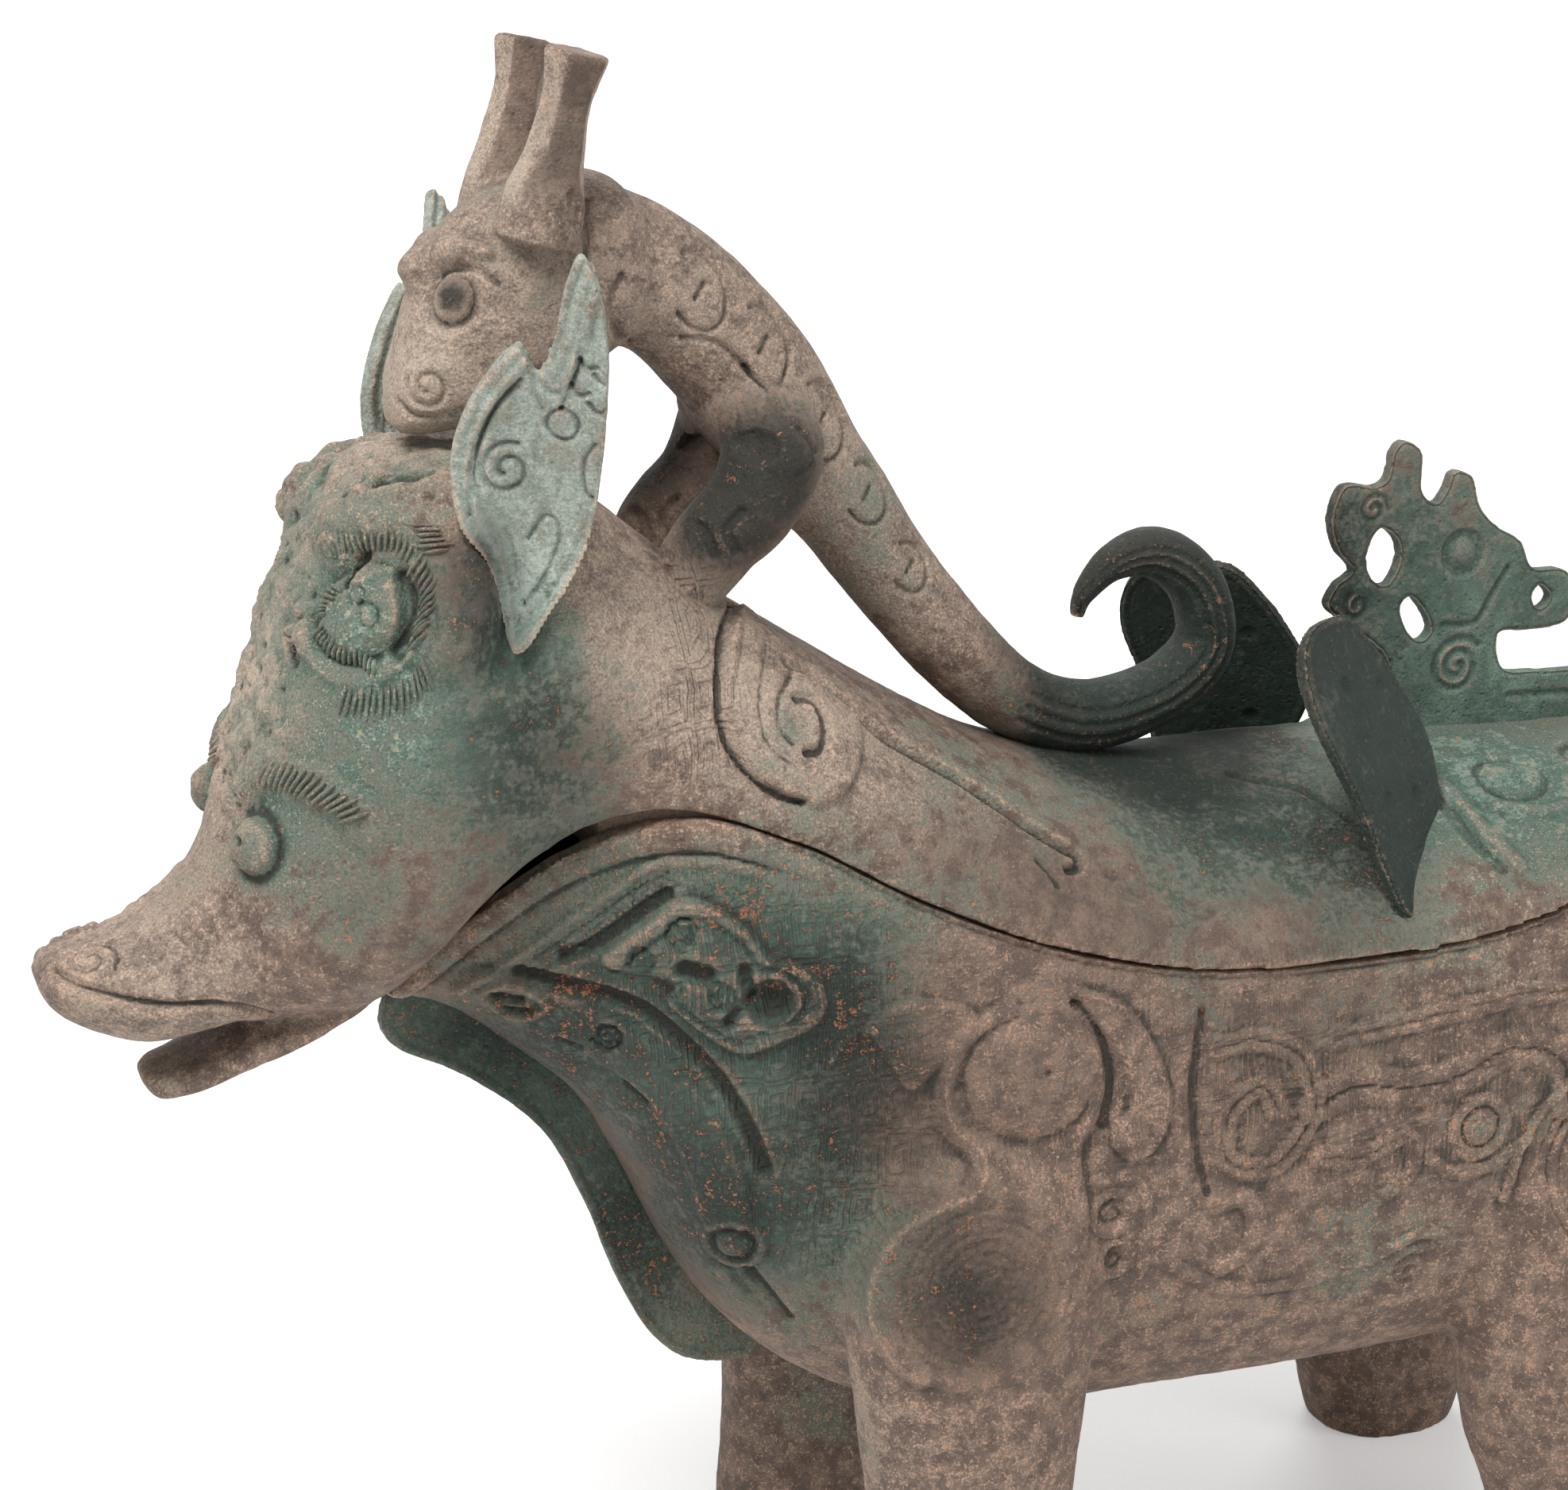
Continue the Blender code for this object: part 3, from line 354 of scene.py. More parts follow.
def lid_rings(grow, first, last, ledge):
    """Rings of the lid between two stations of its tables, moved outwards by grow."""
    rows = []
    for low_x, low_z, up_x, up_z, width, swell, roundness in HEAD:
        rows.append((SPOUT_TIP_X - HEAD_LENGTH * low_x, LOW_RIM_Z + CROWN_RISE * low_z,
                     SPOUT_TIP_X - HEAD_LENGTH * up_x, LOW_RIM_Z + CROWN_RISE * up_z,
                     HEAD_HALF_WIDTH * width, swell, roundness))
    for seam, ridge, climb, head_share, swell, roundness in BACK:
        half_width = head_share * HEAD_HALF_WIDTH + (1 - head_share) * body_half_width(seam)
        rows.append((body_x(seam), seam_z(seam), body_x(ridge),
                     LOW_RIM_Z + BACK_RISE + (CROWN_RISE - BACK_RISE) * climb,
                     half_width, swell, roundness))
    table = spline(rows, PER_GAP)
    behind = PER_GAP * len(HEAD)
    table[behind:, 1] = seam_z((table[behind:, 0] - SPOUT_TIP_X) / BODY_LENGTH)
    lower = offset(table[:, 0:2], -ledge)
    upper = offset(table[:, 2:4], grow)
    rings = []
    for k in range(first * PER_GAP // 2, min(last * PER_GAP // 2, len(table))):
        half_width, swell, roundness = table[k, 4:7]
        rings.append(section(lower[k], upper[k], max(half_width + grow, 2.0), max(swell, 0.0),
                             roundness, 0.0))
    return rings


def mouth_rings(first, last, inset, below, above):
    rings = []
    for place in np.linspace(first, last, 49):
        side = body_half_width(place) - WALL - TONGUE_CLEARANCE - inset
        low = seam_z(place) - below
        high = seam_z(place) + above
        x = body_x(place)
        rings.append(np.array([(x, -side, low), (x, side, low), (x, side, high), (x, -side, high)]))
    return rings


def leg_rings(table, centre_x, side):
    turn = np.linspace(0, 2 * math.pi, 64, endpoint=False)
    rings = []
    for down, into, shift, out, half_length, half_width in spline(table, PER_GAP):
        x = centre_x + shift + half_length * rounded(np.cos(turn), LEG_ROUNDNESS)
        y = side * (LEG_SPREAD + out) + half_width * rounded(np.sin(turn), LEG_ROUNDNESS)
        z = np.full(len(turn), LEG_LENGTH * down + BODY_DEPTH * into)
        rings.append(np.column_stack([x, y, z]))
    return rings


# Skins: (points in millimetres, faces)
def loft(rings):
    """Closed skin over rings of equal count, with a fan over each end."""
    count = len(rings[0])
    points = np.concatenate(rings + [rings[0].mean(axis=0)[None], rings[-1].mean(axis=0)[None]])
    faces = []
    for row in range(len(rings) - 1):
        for k in range(count):
            near = (k + 1) % count
            faces.append((row * count + k, row * count + near,
                          (row + 1) * count + near, (row + 1) * count + k))
    last = (len(rings) - 1) * count
    for k in range(count):
        faces.append(((k + 1) % count, k, len(points) - 2))
        faces.append((last + k, last + (k + 1) % count, len(points) - 1))
    return points, faces


def plate(outline, holes, thickness, origin, along, up):
    """Flat plate from a smooth closed outline with openings, placed by its origin and two directions."""
    loops = [closed_spline(loop, 5) for loop in [outline] + holes]
    flat = np.concatenate(loops)
    caps = tessellate_polygon([[Vector((p[0], p[1], 0.0)) for p in loop] for loop in loops])
    along = Vector(along).normalized()
    up = Vector(up)
    up = (up - along * along.dot(up)).normalized()
    out = along.cross(up)
    base = np.asarray(origin) + flat[:, :1] * np.array(along) + flat[:, 1:2] * np.array(up)
    half = 0.5 * thickness * np.array(out)
    points = np.concatenate([base - half, base + half])
    count = len(flat)
    faces = []
    for a, b, c in caps:
        faces.append((a, b, c))
        faces.append((c + count, b + count, a + count))
    start = 0
    for loop in loops:
        for k in range(len(loop)):
            a, b = start + k, start + (k + 1) % len(loop)
            faces.append((a, b, b + count, a + count))
        start += len(loop)
    return points, faces


def new_object(name, data):
    made = bpy.data.objects.new(name, data)
    bpy.context.scene.collection.objects.link(made)
    return made


def mesh_object(name, points, faces):
    """Object with a closed skin whose faces all look outwards."""
    mesh = bpy.data.meshes.new(name)
    mesh.from_pydata((np.asarray(points) * MM).tolist(), [], [tuple(map(int, face)) for face in faces])
    work = bmesh.new()
    work.from_mesh(mesh)
    bmesh.ops.remove_doubles(work, verts=work.verts, dist=1e-6)
    bmesh.ops.recalc_face_normals(work, faces=work.faces)
    work.to_mesh(mesh)
    work.free()
    return new_object(name, mesh)


def evaluated_mesh(thing):
    bpy.context.view_layer.update()
    shape = thing.evaluated_get(bpy.context.evaluated_depsgraph_get())
    return bpy.data.meshes.new_from_object(shape)


def keep_result(thing):
    """Put the outcome of an object's modifiers in place of its mesh."""
    mesh = evaluated_mesh(thing)
    thing.modifiers.clear()
    old = thing.data
    thing.data = mesh
    bpy.data.meshes.remove(old)


def read_mesh(mesh):
    """Points in millimetres and the vertex pairs of the edges."""
    points = np.empty(len(mesh.vertices) * 3)
    mesh.vertices.foreach_get("co", points)
    edges = np.empty(len(mesh.edges) * 2, dtype=np.int32)
    mesh.edges.foreach_get("vertices", edges)
    return points.reshape(-1, 3) / MM, edges.reshape(-1, 2)


def write_points(mesh, points):
    mesh.vertices.foreach_set("co", (points * MM).ravel())
    mesh.update()


def point_normals(mesh):
    normals = np.empty(len(mesh.vertices) * 3)
    mesh.vertices.foreach_get("normal", normals)
    return normals.reshape(-1, 3)


def raise_skin(thing, heights):
    """Move a skin along its normals by the heights that a function gives for its points and normals."""
    mesh = thing.data
    points, _ = read_mesh(mesh)
    normals = point_normals(mesh)
    write_points(mesh, points + normals * heights(points, normals)[:, None])


def nearest(points):
    """Tree that finds the nearest of some points."""
    tree = KDTree(len(points))
    for index, point in enumerate(points):
        tree.insert(point, index)
    tree.balance()
    return tree


def neighbour_mean(values, edges, count):
    a, b = edges.T
    degree = np.bincount(a, minlength=count) + np.bincount(b, minlength=count)
    total = np.empty_like(values)
    for axis in range(values.shape[1]):
        column = values[:, axis]
        total[:, axis] = (np.bincount(a, weights=column[b], minlength=count)
                          + np.bincount(b, weights=column[a], minlength=count))
    return total / np.maximum(degree, 1)[:, None]


def relax(points, edges, weight, rounds):
    """Even out a skin where the weight is high."""
    for _ in range(rounds):
        points = points + weight[:, None] * (neighbour_mean(points, edges, len(points)) - points)
    return points


def cast_together(name, skins, grain, fillet):
    """One skin over several closed ones, with rounded joins between them."""
    points, faces, labels, start = [], [], [], 0
    for label, (part_points, part_faces) in enumerate(skins):
        points.append(part_points)
        faces += [tuple(index + start for index in face) for face in part_faces]
        labels += [label] * len(part_points)
        start += len(part_points)
    points = np.concatenate(points)
    rough = mesh_object(name + "_rough", points, faces)
    step = rough.modifiers.new("skin", "REMESH")
    step.mode = "VOXEL"
    step.voxel_size = grain * MM
    mesh = evaluated_mesh(rough)
    bpy.data.objects.remove(rough)
    mesh.name = name
    made, edges = read_mesh(mesh)
    if len(skins) > 1:
        tree = nearest(points)
        labels = np.array(labels)
        owner = labels[[tree.find(point)[1] for point in made]]
        joins = np.unique(edges[owner[edges[:, 0]] != owner[edges[:, 1]]])
        near = nearest(made[joins])
        gap = np.array([near.find(point)[2] for point in made])
        ease = np.clip(1.0 - gap / fillet, 0.0, 1.0)
        rounds = int((0.6 * fillet / grain) ** 2)
        made = relax(made, edges, 0.6 * ease, rounds)
    made = relax(made, edges, np.full(len(made), 0.5), 3)
    write_points(mesh, made)
    return new_object(name, mesh)


def cut(thing, skin):
    """Cut a closed skin out of an object."""
    other = mesh_object("cutter", *skin)
    step = thing.modifiers.new("cut", "BOOLEAN")
    step.operation = "DIFFERENCE"
    step.solver = "MANIFOLD"
    step.object = other
    keep_result(thing)
    bpy.data.objects.remove(other)


# Relief: heights over a flat frame laid on the left side and mirrored to the right
def smooth(value):
    value = np.clip(value, 0.0, 1.0)
    return value * value * (3.0 - 2.0 * value)


def inside(distance, reach, soft):
    """One within reach, nought beyond it, with a soft edge."""
    return smooth(0.5 + (reach - distance) / (2.0 * soft))


def line_gap(u, v, points):
    """Distance to a broken line, and how far along it the nearest place is, from 0 to 1."""
    points = np.asarray(points, dtype=float)
    lengths = np.concatenate([[0.0], np.cumsum(np.linalg.norm(np.diff(points, axis=0), axis=1))])
    best = np.full(len(u), 1e9)
    along = np.zeros(len(u))
    for index in range(len(points) - 1):
        start = points[index]
        run = points[index + 1] - start
        size = run.dot(run)
        t = np.clip(((u - start[0]) * run[0] + (v - start[1]) * run[1]) / max(size, 1e-9), 0.0, 1.0)
        gap = np.hypot(u - start[0] - t * run[0], v - start[1] - t * run[1])
        closer = gap < best
        best[closer] = gap[closer]
        along[closer] = lengths[index] + t[closer] * math.sqrt(size)
    return best, along / max(lengths[-1], 1e-9)


def spiral(centre, outer, inner, start, turns, steps=14):
    """Points of a spiral from its outer end to its inner end; turns are positive anticlockwise."""
    count = max(int(abs(turns) * steps), 4)
    angle = math.radians(start) + np.linspace(0.0, 2 * math.pi * turns, count)
    radius = np.linspace(outer, inner, count)
    return np.column_stack([centre[0] + radius * np.cos(angle), centre[1] + radius * np.sin(angle)])


class Face:
    """A flat frame on one spot of a skin, in which ornament is drawn across and up.

    It takes in the points within reach whose normals lean towards its outward way by more than the limit.
    """

    def __init__(self, points, normals, origin, out, reach, lean, up=(0.0, 0.0, 1.0)):
        out = unit(out)
        self.origin = np.asarray(origin, dtype=float)
        self.up = square_to(out, np.asarray(up, dtype=float))
        self.across = np.cross(self.up, out)
        away = points - self.origin
        chosen = normals @ out > lean
        for axis in (out, self.across, self.up):
            chosen &= np.abs(away @ axis) < reach
        self.where = np.nonzero(chosen)[0]
        self.u = away[self.where] @ self.across
        self.v = away[self.where] @ self.up
        self.height = np.zeros(len(self.where))

    def at(self, *points):
        """Where points in space fall on the frame."""
        away = np.asarray(points, dtype=float) - self.origin
        return np.column_stack([away @ self.across, away @ self.up])

    def line(self, points, width, height, soft=0.45, taper=0.0):
        """Ridge or groove of a half width along a line; taper thins it towards its end."""
        points = np.asarray(points, dtype=float)
        low = points.min(axis=0) - 2 * width
        high = points.max(axis=0) + 2 * width
        near = np.nonzero((self.u > low[0]) & (self.u < high[0])
                          & (self.v > low[1]) & (self.v < high[1]))[0]
        if len(near):
            gap, along = line_gap(self.u[near], self.v[near], points)
            size = width * (1.0 - taper * along)
            self.height[near] += height * inside(gap / size, 1.0, soft)

    def curve(self, rows, width, height, soft=0.45, taper=0.0):
        self.line(spline(rows, 6), width, height, soft, taper)

    def scored(self, rows, width, height, soft, depth, taper=0.0):
        """Ridge with a thin line along its middle."""
        self.curve(rows, width, height, soft, taper)
        self.curve(rows, 0.5, depth)

    def dome(self, centre, radius, height, power=0.5):
        gap = np.hypot(self.u - centre[0], self.v - centre[1]) / radius
        self.height += height * np.clip(1.0 - gap * gap, 0.0, 1.0) ** power

    def ring(self, centre, radius, width, height, soft=0.45):
        gap = np.abs(np.hypot(self.u - centre[0], self.v - centre[1]) - radius)
        self.height += height * inside(gap / width, 1.0, soft)

    def patch(self, outline, height, soft):
        """Raised or sunk area inside a closed outline."""
        loop = np.asarray(outline, dtype=float)
        loop = np.vstack([loop, loop[:1]])
        gap, _ = line_gap(self.u, self.v, loop)
        crossings = np.zeros(len(self.u), dtype=int)
        for (x0, y0), (x1, y1) in zip(loop[:-1], loop[1:]):
            spans = (y0 > self.v) != (y1 > self.v)
            if y1 != y0:
                crossings += spans & (self.u < x0 + (self.v - y0) * (x1 - x0) / (y1 - y0))
        depth = np.where(crossings % 2 == 1, gap, -gap)
        self.height += height * smooth(0.5 + depth / (2.0 * soft))


def add_relief(thing, *drawn):
    """Lay the faces that are drawn for a left side on both sides of a skin."""
    def heights(points, normals):
        height = np.zeros(len(points))
        for mirror in BOTH_SIDES:
            for draw in drawn:
                face = draw(points * mirror, normals * mirror)
                height[face.where] += face.height
        return height

    raise_skin(thing, heights)


# Skins just under the outside of the castings, to trim what is seated in them
def under_lid():
    return loft(lid_rings(-UNDER_SKIN, LID_HOLLOW_START, LID_STEPS - 4, 0.0))


def under_vessel():
    return loft(body_rings(-UNDER_SKIN, CUT_ABOVE))


# Vessel
def draw_flank(points, normals):
    """Crescent, long-bodied beast and haunch coil along the vessel's side."""
    side = Face(points, normals, (0.0, -50.0, 120.0), (0.0, -1.0, 0.0), 200.0, 0.25)
    side.v += 120.0
    # Crescent that ends in a knob beside the disc
    crescent = [(-18.3, 168.0), (-8.0, 163.6), (0.0, 151.7), (2.9, 141.0), (0.5, 132.6), (-4.6, 129.8),
                (-9.0, 133.6), (-8.4, 138.6), (-5.4, 141.0), (-6.0, 146.0), (-8.7, 154.3), (-14.8, 162.6)]
    side.patch(closed_spline(crescent, 4), 1.0, 0.6)
    side.curve(crescent[:6], 0.7, 0.4)
    side.dome((-5.0, 135.6), 3.4, 0.9, 0.6)
    side.curve([(-17.5, 164.5), (-11.6, 155.0), (-9.8, 146.0), (-11.0, 138.0)], 1.3, -1.0)
    side.curve([(-13.0, 125.6), (-4.0, 125.0), (-1.0, 120.0), (-0.8, 104.0)], 0.8, 0.5)
    for spot, size in (((-8.6, 118.0), 4.6), ((-7.5, 107.5), 3.8)):
        side.ring(spot, size, 0.7, 0.45)
        side.line(spiral(spot, 0.6 * size, 0.6, 90.0, 1.3), 0.5, -0.4)
    # Long-bodied beast along the flank
    side.curve([(10.0, 160.0), (8.5, 146.0), (9.5, 131.0), (12.5, 120.0)], 1.2, -0.8)
    head = [(13.0, 152.0), (22.0, 153.0), (32.5, 148.0), (35.2, 135.4), (27.0, 124.6), (16.2, 127.3),
            (16.4, 138.0), (23.5, 142.6), (27.5, 137.0)]
    side.scored(head, 2.3, 0.7, 0.3, -0.5)
    long_body = [(36.0, 137.0), (46.0, 140.0), (58.0, 138.0), (70.0, 139.0), (80.0, 143.0), (90.0, 142.0),
                 (97.0, 137.0), (98.0, 129.0)]
    side.scored(long_body, 4.0, 0.7, 0.25, -0.5)
    upper = [(40.0, 151.0), (56.0, 152.5), (72.0, 154.0), (88.0, 155.0), (102.0, 152.0), (108.0, 143.0)]
    side.scored(upper, 2.2, 0.6, 0.3, -0.45)
    side.ring((76.0, 126.5), 6.2, 1.2, 0.6)
    side.dome((76.0, 126.5), 4.3, 1.2, 0.6)
    side.curve([(64.0, 121.0), (71.0, 116.5), (80.0, 117.0), (88.0, 122.0)], 1.2, 0.6)
    hook = [(38.0, 125.0), (48.0, 124.0), (58.0, 127.0), (60.0, 119.0), (53.0, 113.0)]
    side.scored(hook, 2.4, 0.6, 0.3, -0.45, 0.4)
    side.curve([(15.0, 117.0), (21.0, 118.0), (24.0, 112.0), (22.0, 105.0), (17.0, 102.0)], 1.8, 0.65)
    side.curve([(6.0, 104.0), (18.0, 97.0), (34.0, 95.0), (50.0, 98.0), (64.0, 103.0), (72.0, 100.0)], 1.3,
               0.6)
    side.line(spiral((62.0, 94.0), 5.5, 0.8, 60.0, 1.8), 0.8, 0.5)
    # Haunch coil
    side.dome((112.0, 112.0), 24.5, 0.9, 0.4)
    side.dome((112.0, 112.0), 21.0, -1.0, 0.8)
    side.line(spiral((112.0, 112.0), 21.0, 1.0, 160.0, -7.5, 24), 0.55, -0.42)
    side.curve([(84.0, 108.0), (88.0, 122.0), (98.0, 133.0), (112.0, 137.5), (127.0, 133.0), (137.0, 122.0),
                (139.0, 108.0), (134.0, 94.0)], 1.0, 0.8)
    side.line(spiral((136.0, 148.0), 7.0, 0.8, 250.0, -2.2), 0.8, 0.6)
    side.height *= 1.4
    return side


def draw_shoulder(points, normals):
    """One raised field that holds the domed disc over the big coil, and the flame beside it."""
    shoulder = Face(points, normals, (-38.0, -58.0, 125.0), (-0.42, -0.9, 0.1), 70.0, 0.1)
    disc, coil = (8.9, 25.8), (1.2, -17.1)
    edge = [(4.4, 40.6), (-2.2, 36.9), (-7.0, 30.8), (-8.4, 22.7), (-6.8, 15.5), (-2.2, 10.7), (-0.5, 6.8),
            (-2.6, 2.9), (-9.0, 0.4), (-15.0, -3.5), (-19.8, -10.3), (-21.8, -18.4), (-20.7, -25.4),
            (-17.2, -31.4), (-11.5, -35.5)]
    far_edge = [(2.0, -38.5), (13.0, -33.0), (19.5, -21.0), (20.8, -6.0), (19.4, 1.8), (18.8, 9.2),
                (20.9, 14.9), (23.4, 23.0), (22.5, 31.4), (18.5, 39.8)]
    shoulder.patch(closed_spline(edge + far_edge, 4), 1.3, 1.2)
    shoulder.curve(edge, 1.5, 1.1, 0.8)
    shoulder.curve(far_edge[3:], 1.2, 0.8, 0.8)
    shoulder.dome(disc, 13.2, 2.2, 0.7)
    shoulder.ring(disc, 14.0, 1.4, -0.45, 0.9)
    shoulder.dome((disc[0] + 3.0, disc[1] + 1.6), 1.3, -0.9, 0.5)
    shoulder.dome(coil, 19.0, -1.8, 0.8)
    shoulder.line(spiral(coil, 18.5, 1.0, 200.0, 7.5, 24), 0.65, -0.5)
    flame = [(-31.3, 29.3), (-25.8, 37.2), (-20.5, 32.5), (-16.7, 25.3), (-13.8, 24.0), (-10.7, 27.4),
             (-7.0, 32.5), (-1.8, 38.9), (-9.6, 42.7), (-19.0, 42.2)]
    shoulder.patch(closed_spline(flame, 4), 1.3, 0.8)
    return shoulder


def draw_spout(points, normals):
    """Square-turned beast, and the band beside the keel with its eye and boss."""
    spout = Face(points, normals, (-92.0, -40.0, 168.0), (-0.38, -0.92, -0.05), 85.0, 0.1)
    beast = [(-19.0, 9.4), (-14.5, 14.6), (-8.4, 19.4), (-4.7, 22.9), (0.0, 23.2), (5.0, 20.6),
             (10.0, 16.4), (14.2, 10.4), (19.4, 9.0), (24.0, 5.6), (25.6, 0.8), (23.0, -4.0), (17.0, -6.4),
             (9.4, -9.0), (3.4, -6.4), (-1.6, -2.4), (-6.0, 1.6), (-4.4, 5.6), (-9.6, 7.4)]
    spout.patch(closed_spline(beast, 3), 1.5, 0.6)
    inner = np.array(beast) * 0.8 + np.array([0.5, 1.2])
    spout.curve(np.vstack([inner, inner[:1]]), 0.45, -0.5)
    for spot, size, first in (((-3.0, 16.4), 3.6, 20.0), ((-11.0, 11.4), 3.2, 200.0),
                              ((5.0, 3.4), 3.2, 90.0)):
        spout.line(spiral(spot, size, 0.6, first, 2.2, 10), 0.45, -0.7)
    spout.dome((14.0, 1.6), 5.0, -3.0, 0.6)
    spout.line([(-2.4, 9.2), (1.6, 8.0)], 2.0, -2.0)
    spout.line([(9.0, 9.0), (10.0, 3.0), (6.0, -2.0)], 1.3, -1.4)
    rim = [(-50.0, 0.0), (-37.2, 8.6), (-24.8, 18.2), (-13.0, 27.4), (-7.0, 30.6), (2.0, 31.0), (12.0, 28.4)]
    spout.curve(rim, 0.8, 0.5)
    for step in (2.4, 3.9, 5.4):
        spout.curve(np.array(rim[1:5]) + np.array([0.55, -0.85]) * step, 0.45, -0.5)
    spout.curve([(-26.7, 10.0), (-20.5, 13.1), (-15.0, 17.3), (-10.1, 21.3), (-5.9, 24.0)], 1.5, -1.4)
    spout.curve([(-36.0, 5.4), (-24.5, 3.2), (-12.9, 0.4), (-5.1, -5.6), (3.3, -14.3), (9.2, -25.1),
                 (13.0, -36.0)], 1.6, -1.8)
    spout.curve([(-43.0, 0.6), (-35.0, -1.6), (-26.0, -5.0), (-17.0, -9.0), (-8.5, -15.5), (-1.5, -25.0),
                 (3.0, -36.0), (4.5, -46.0)], 5.6, 1.0, 0.2)
    almond = [(-44.2, 1.2), (-37.0, 3.5), (-30.4, -0.9), (-37.0, -4.2)]
    spout.curve(almond + almond[:1], 0.7, 0.6)
    spout.line([(-41.0, 0.7), (-35.5, 0.3)], 0.9, -1.2)
    spout.line([(-39.0, -2.2), (-33.5, -2.4)], 0.7, -1.0)
    spout.line(spiral((-18.1, -6.8), 3.4, 0.6, 200.0, 1.8), 0.55, -0.8)
    spout.line([(-28.3, -9.2), (-24.0, -10.6)], 0.9, -1.0)
    spout.line([(-15.0, -18.4), (-10.8, -21.6)], 0.8, -1.0)
    spout.ring((6.4, -53.9), 5.8, 1.1, 0.9)
    spout.dome((6.4, -53.9), 3.8, 2.2, 0.6)
    spout.curve([(9.0, -61.0), (13.0, -67.0), (17.5, -74.0)], 1.1, -1.2)
    spout.curve([(4.0, -63.5), (9.0, -71.0), (15.0, -78.0)], 1.8, 0.9)
    spout.height *= 1.25
    return spout


def value_noise(points, size, seed):
    """Smooth noise from -1 to 1 with bumps about as wide as the size."""
    place = points / size
    base = np.floor(place).astype(np.int64)
    part = place - base
    part = part * part * (3.0 - 2.0 * part)
    total = np.zeros(len(points))
    for corner in range(8):
        step = np.array([corner & 1, corner >> 1 & 1, corner >> 2 & 1])
        x, y, z = ((base + step) * HASH_STEPS).T
        mixed = x ^ y ^ z ^ (seed * HASH_SEED)
        mixed = (mixed ^ (mixed >> 13)) * HASH_MIX
        mixed = (mixed ^ (mixed >> 16)) & HASH_MASK
        weight = np.prod(np.where(step, part, 1.0 - part), axis=1)
        total += weight * (2.0 * mixed / HASH_MASK - 1.0)
    return total


def roughen(thing, amount, extra=None):
    """Uneven surface of an old casting, with an extra share where extra says so."""
    def heights(points, normals):
        height = amount * (0.6 * value_noise(points, 14.0, 1) + 0.4 * value_noise(points, 5.0, 2)
                           + 0.25 * value_noise(points, 2.2, 3))
        return height if extra is None else height + extra(points, normals)

    raise_skin(thing, heights)


def thin(thing, most=MOST_TRIANGLES):
    """Fewer triangles where the skin is plain."""
    count = sum(len(face.vertices) - 2 for face in thing.data.polygons)
    if count > most:
        step = thing.modifiers.new("thin", "DECIMATE")
        step.ratio = most / count
        keep_result(thing)


def vessel_rim(points, normals):
    """Raised strip under the spout's rim, and an edge that is set back under the lid."""
    x = points[:, 0]
    below = rim_z(body_place(x)) - points[:, 2]
    strip = 0.5 * inside(below, 5.5, 0.6) - 0.6 * inside(np.abs(below - 6.6), 0.7, 0.5)
    strip *= (normals[:, 2] < 0.6) * smooth((-62.0 - x) / 26.0)
    strip -= 1.1 * inside(below, 2.2, 1.4) * (normals[:, 2] < 0.6) * smooth((x + 88.0) / 20.0)
    return strip


def build_vessel():
    skins = [loft(body_rings(0.0, 0.0))]
    for side in (-1, 1):
        skins.append(loft(leg_rings(FRONT_LEG, FRONT_LEG_X, side)))
        skins.append(loft(leg_rings(HIND_LEG, HIND_LEG_X, side)))
    thing = cast_together("vessel_casting", skins, VESSEL_GRAIN, 9.0)
    raise_skin(thing, vessel_rim)
    add_relief(thing, draw_flank, draw_shoulder, draw_spout)
    roughen(thing, 0.35)
    cut(thing, loft(body_rings(-WALL, CUT_ABOVE)[:-2 * PER_GAP]))
    thin(thing)
    return thing


# Lid with the beast's head
def draw_neck(points, normals):
    """Coil on the neck, and the groove that runs back from it."""
    neck = Face(points, normals, (-72.0, -40.2, 222.9), (0.12, -0.85, 0.5), 90.0, 0.2)
    turn_out = [(2.0, 31.4), (-7.8, 22.0), (-12.9, 11.6), (-14.2, 2.3), (-11.0, -6.0), (-5.6, -11.5),
                (-1.0, -13.8)]
    turn_in = [(2.9, -15.0), (6.6, -14.4), (11.2, -10.1), (15.0, -4.8), (17.6, 0.5), (15.0, 6.0)]
    neck.patch(closed_spline(turn_out + turn_in + [(9.0, 13.0), (7.0, 23.0)], 4), 1.3, 0.9)
    neck.curve(turn_out, 1.2, -1.8, taper=0.3)
    neck.curve([(-0.6, 26.1), (-10.5, 10.2), (-11.6, 1.8), (-9.4, -5.3), (-5.1, -10.2)], 0.5, -0.5)
    neck.curve([(1.1, 18.7), (-4.9, 9.2), (-6.8, 1.1), (-4.9, -3.8), (-2.6, -6.4)], 0.5, -0.6)
    neck.curve([(4.4, 12.0), (-0.5, 7.6), (-2.4, 4.0), (-2.6, 0.2), (-1.0, -2.6)], 0.8, -1.0)
    neck.curve([(3.0, 6.6), (6.4, 6.0), (7.8, 3.0), (7.0, -1.1), (4.6, -4.6), (1.6, -4.8)], 1.1, -1.7)
    neck.dome((2.2, 1.4), 4.4, -1.3, 0.7)
    groove = [(4.5, 14.6), (8.8, 12.7), (12.4, 9.8), (19.7, 1.9), (24.1, -2.9), (33.7, -9.2), (43.4, -17.3),
              (50.0, -24.6), (56.4, -30.7), (59.0, -32.6), (58.4, -35.2), (55.6, -35.6)]
    neck.curve(groove, 1.15, -1.8, taper=0.15)
    neck.curve(np.array(groove[2:9]) + np.array([2.0, 2.8]), 2.4, 0.8, 0.5)
    neck.curve([(49.0, -33.0), (50.4, -35.5), (51.3, -38.6)], 0.9, -1.2)
    ridge = neck.at((-57.2, -43.5, 210.2), (-42.4, -43.7, 202.7), (-28.0, -46.1, 194.4),
                    (-18.0, -49.3, 187.4))
    neck.curve(ridge, 2.4, 0.5)
    return neck


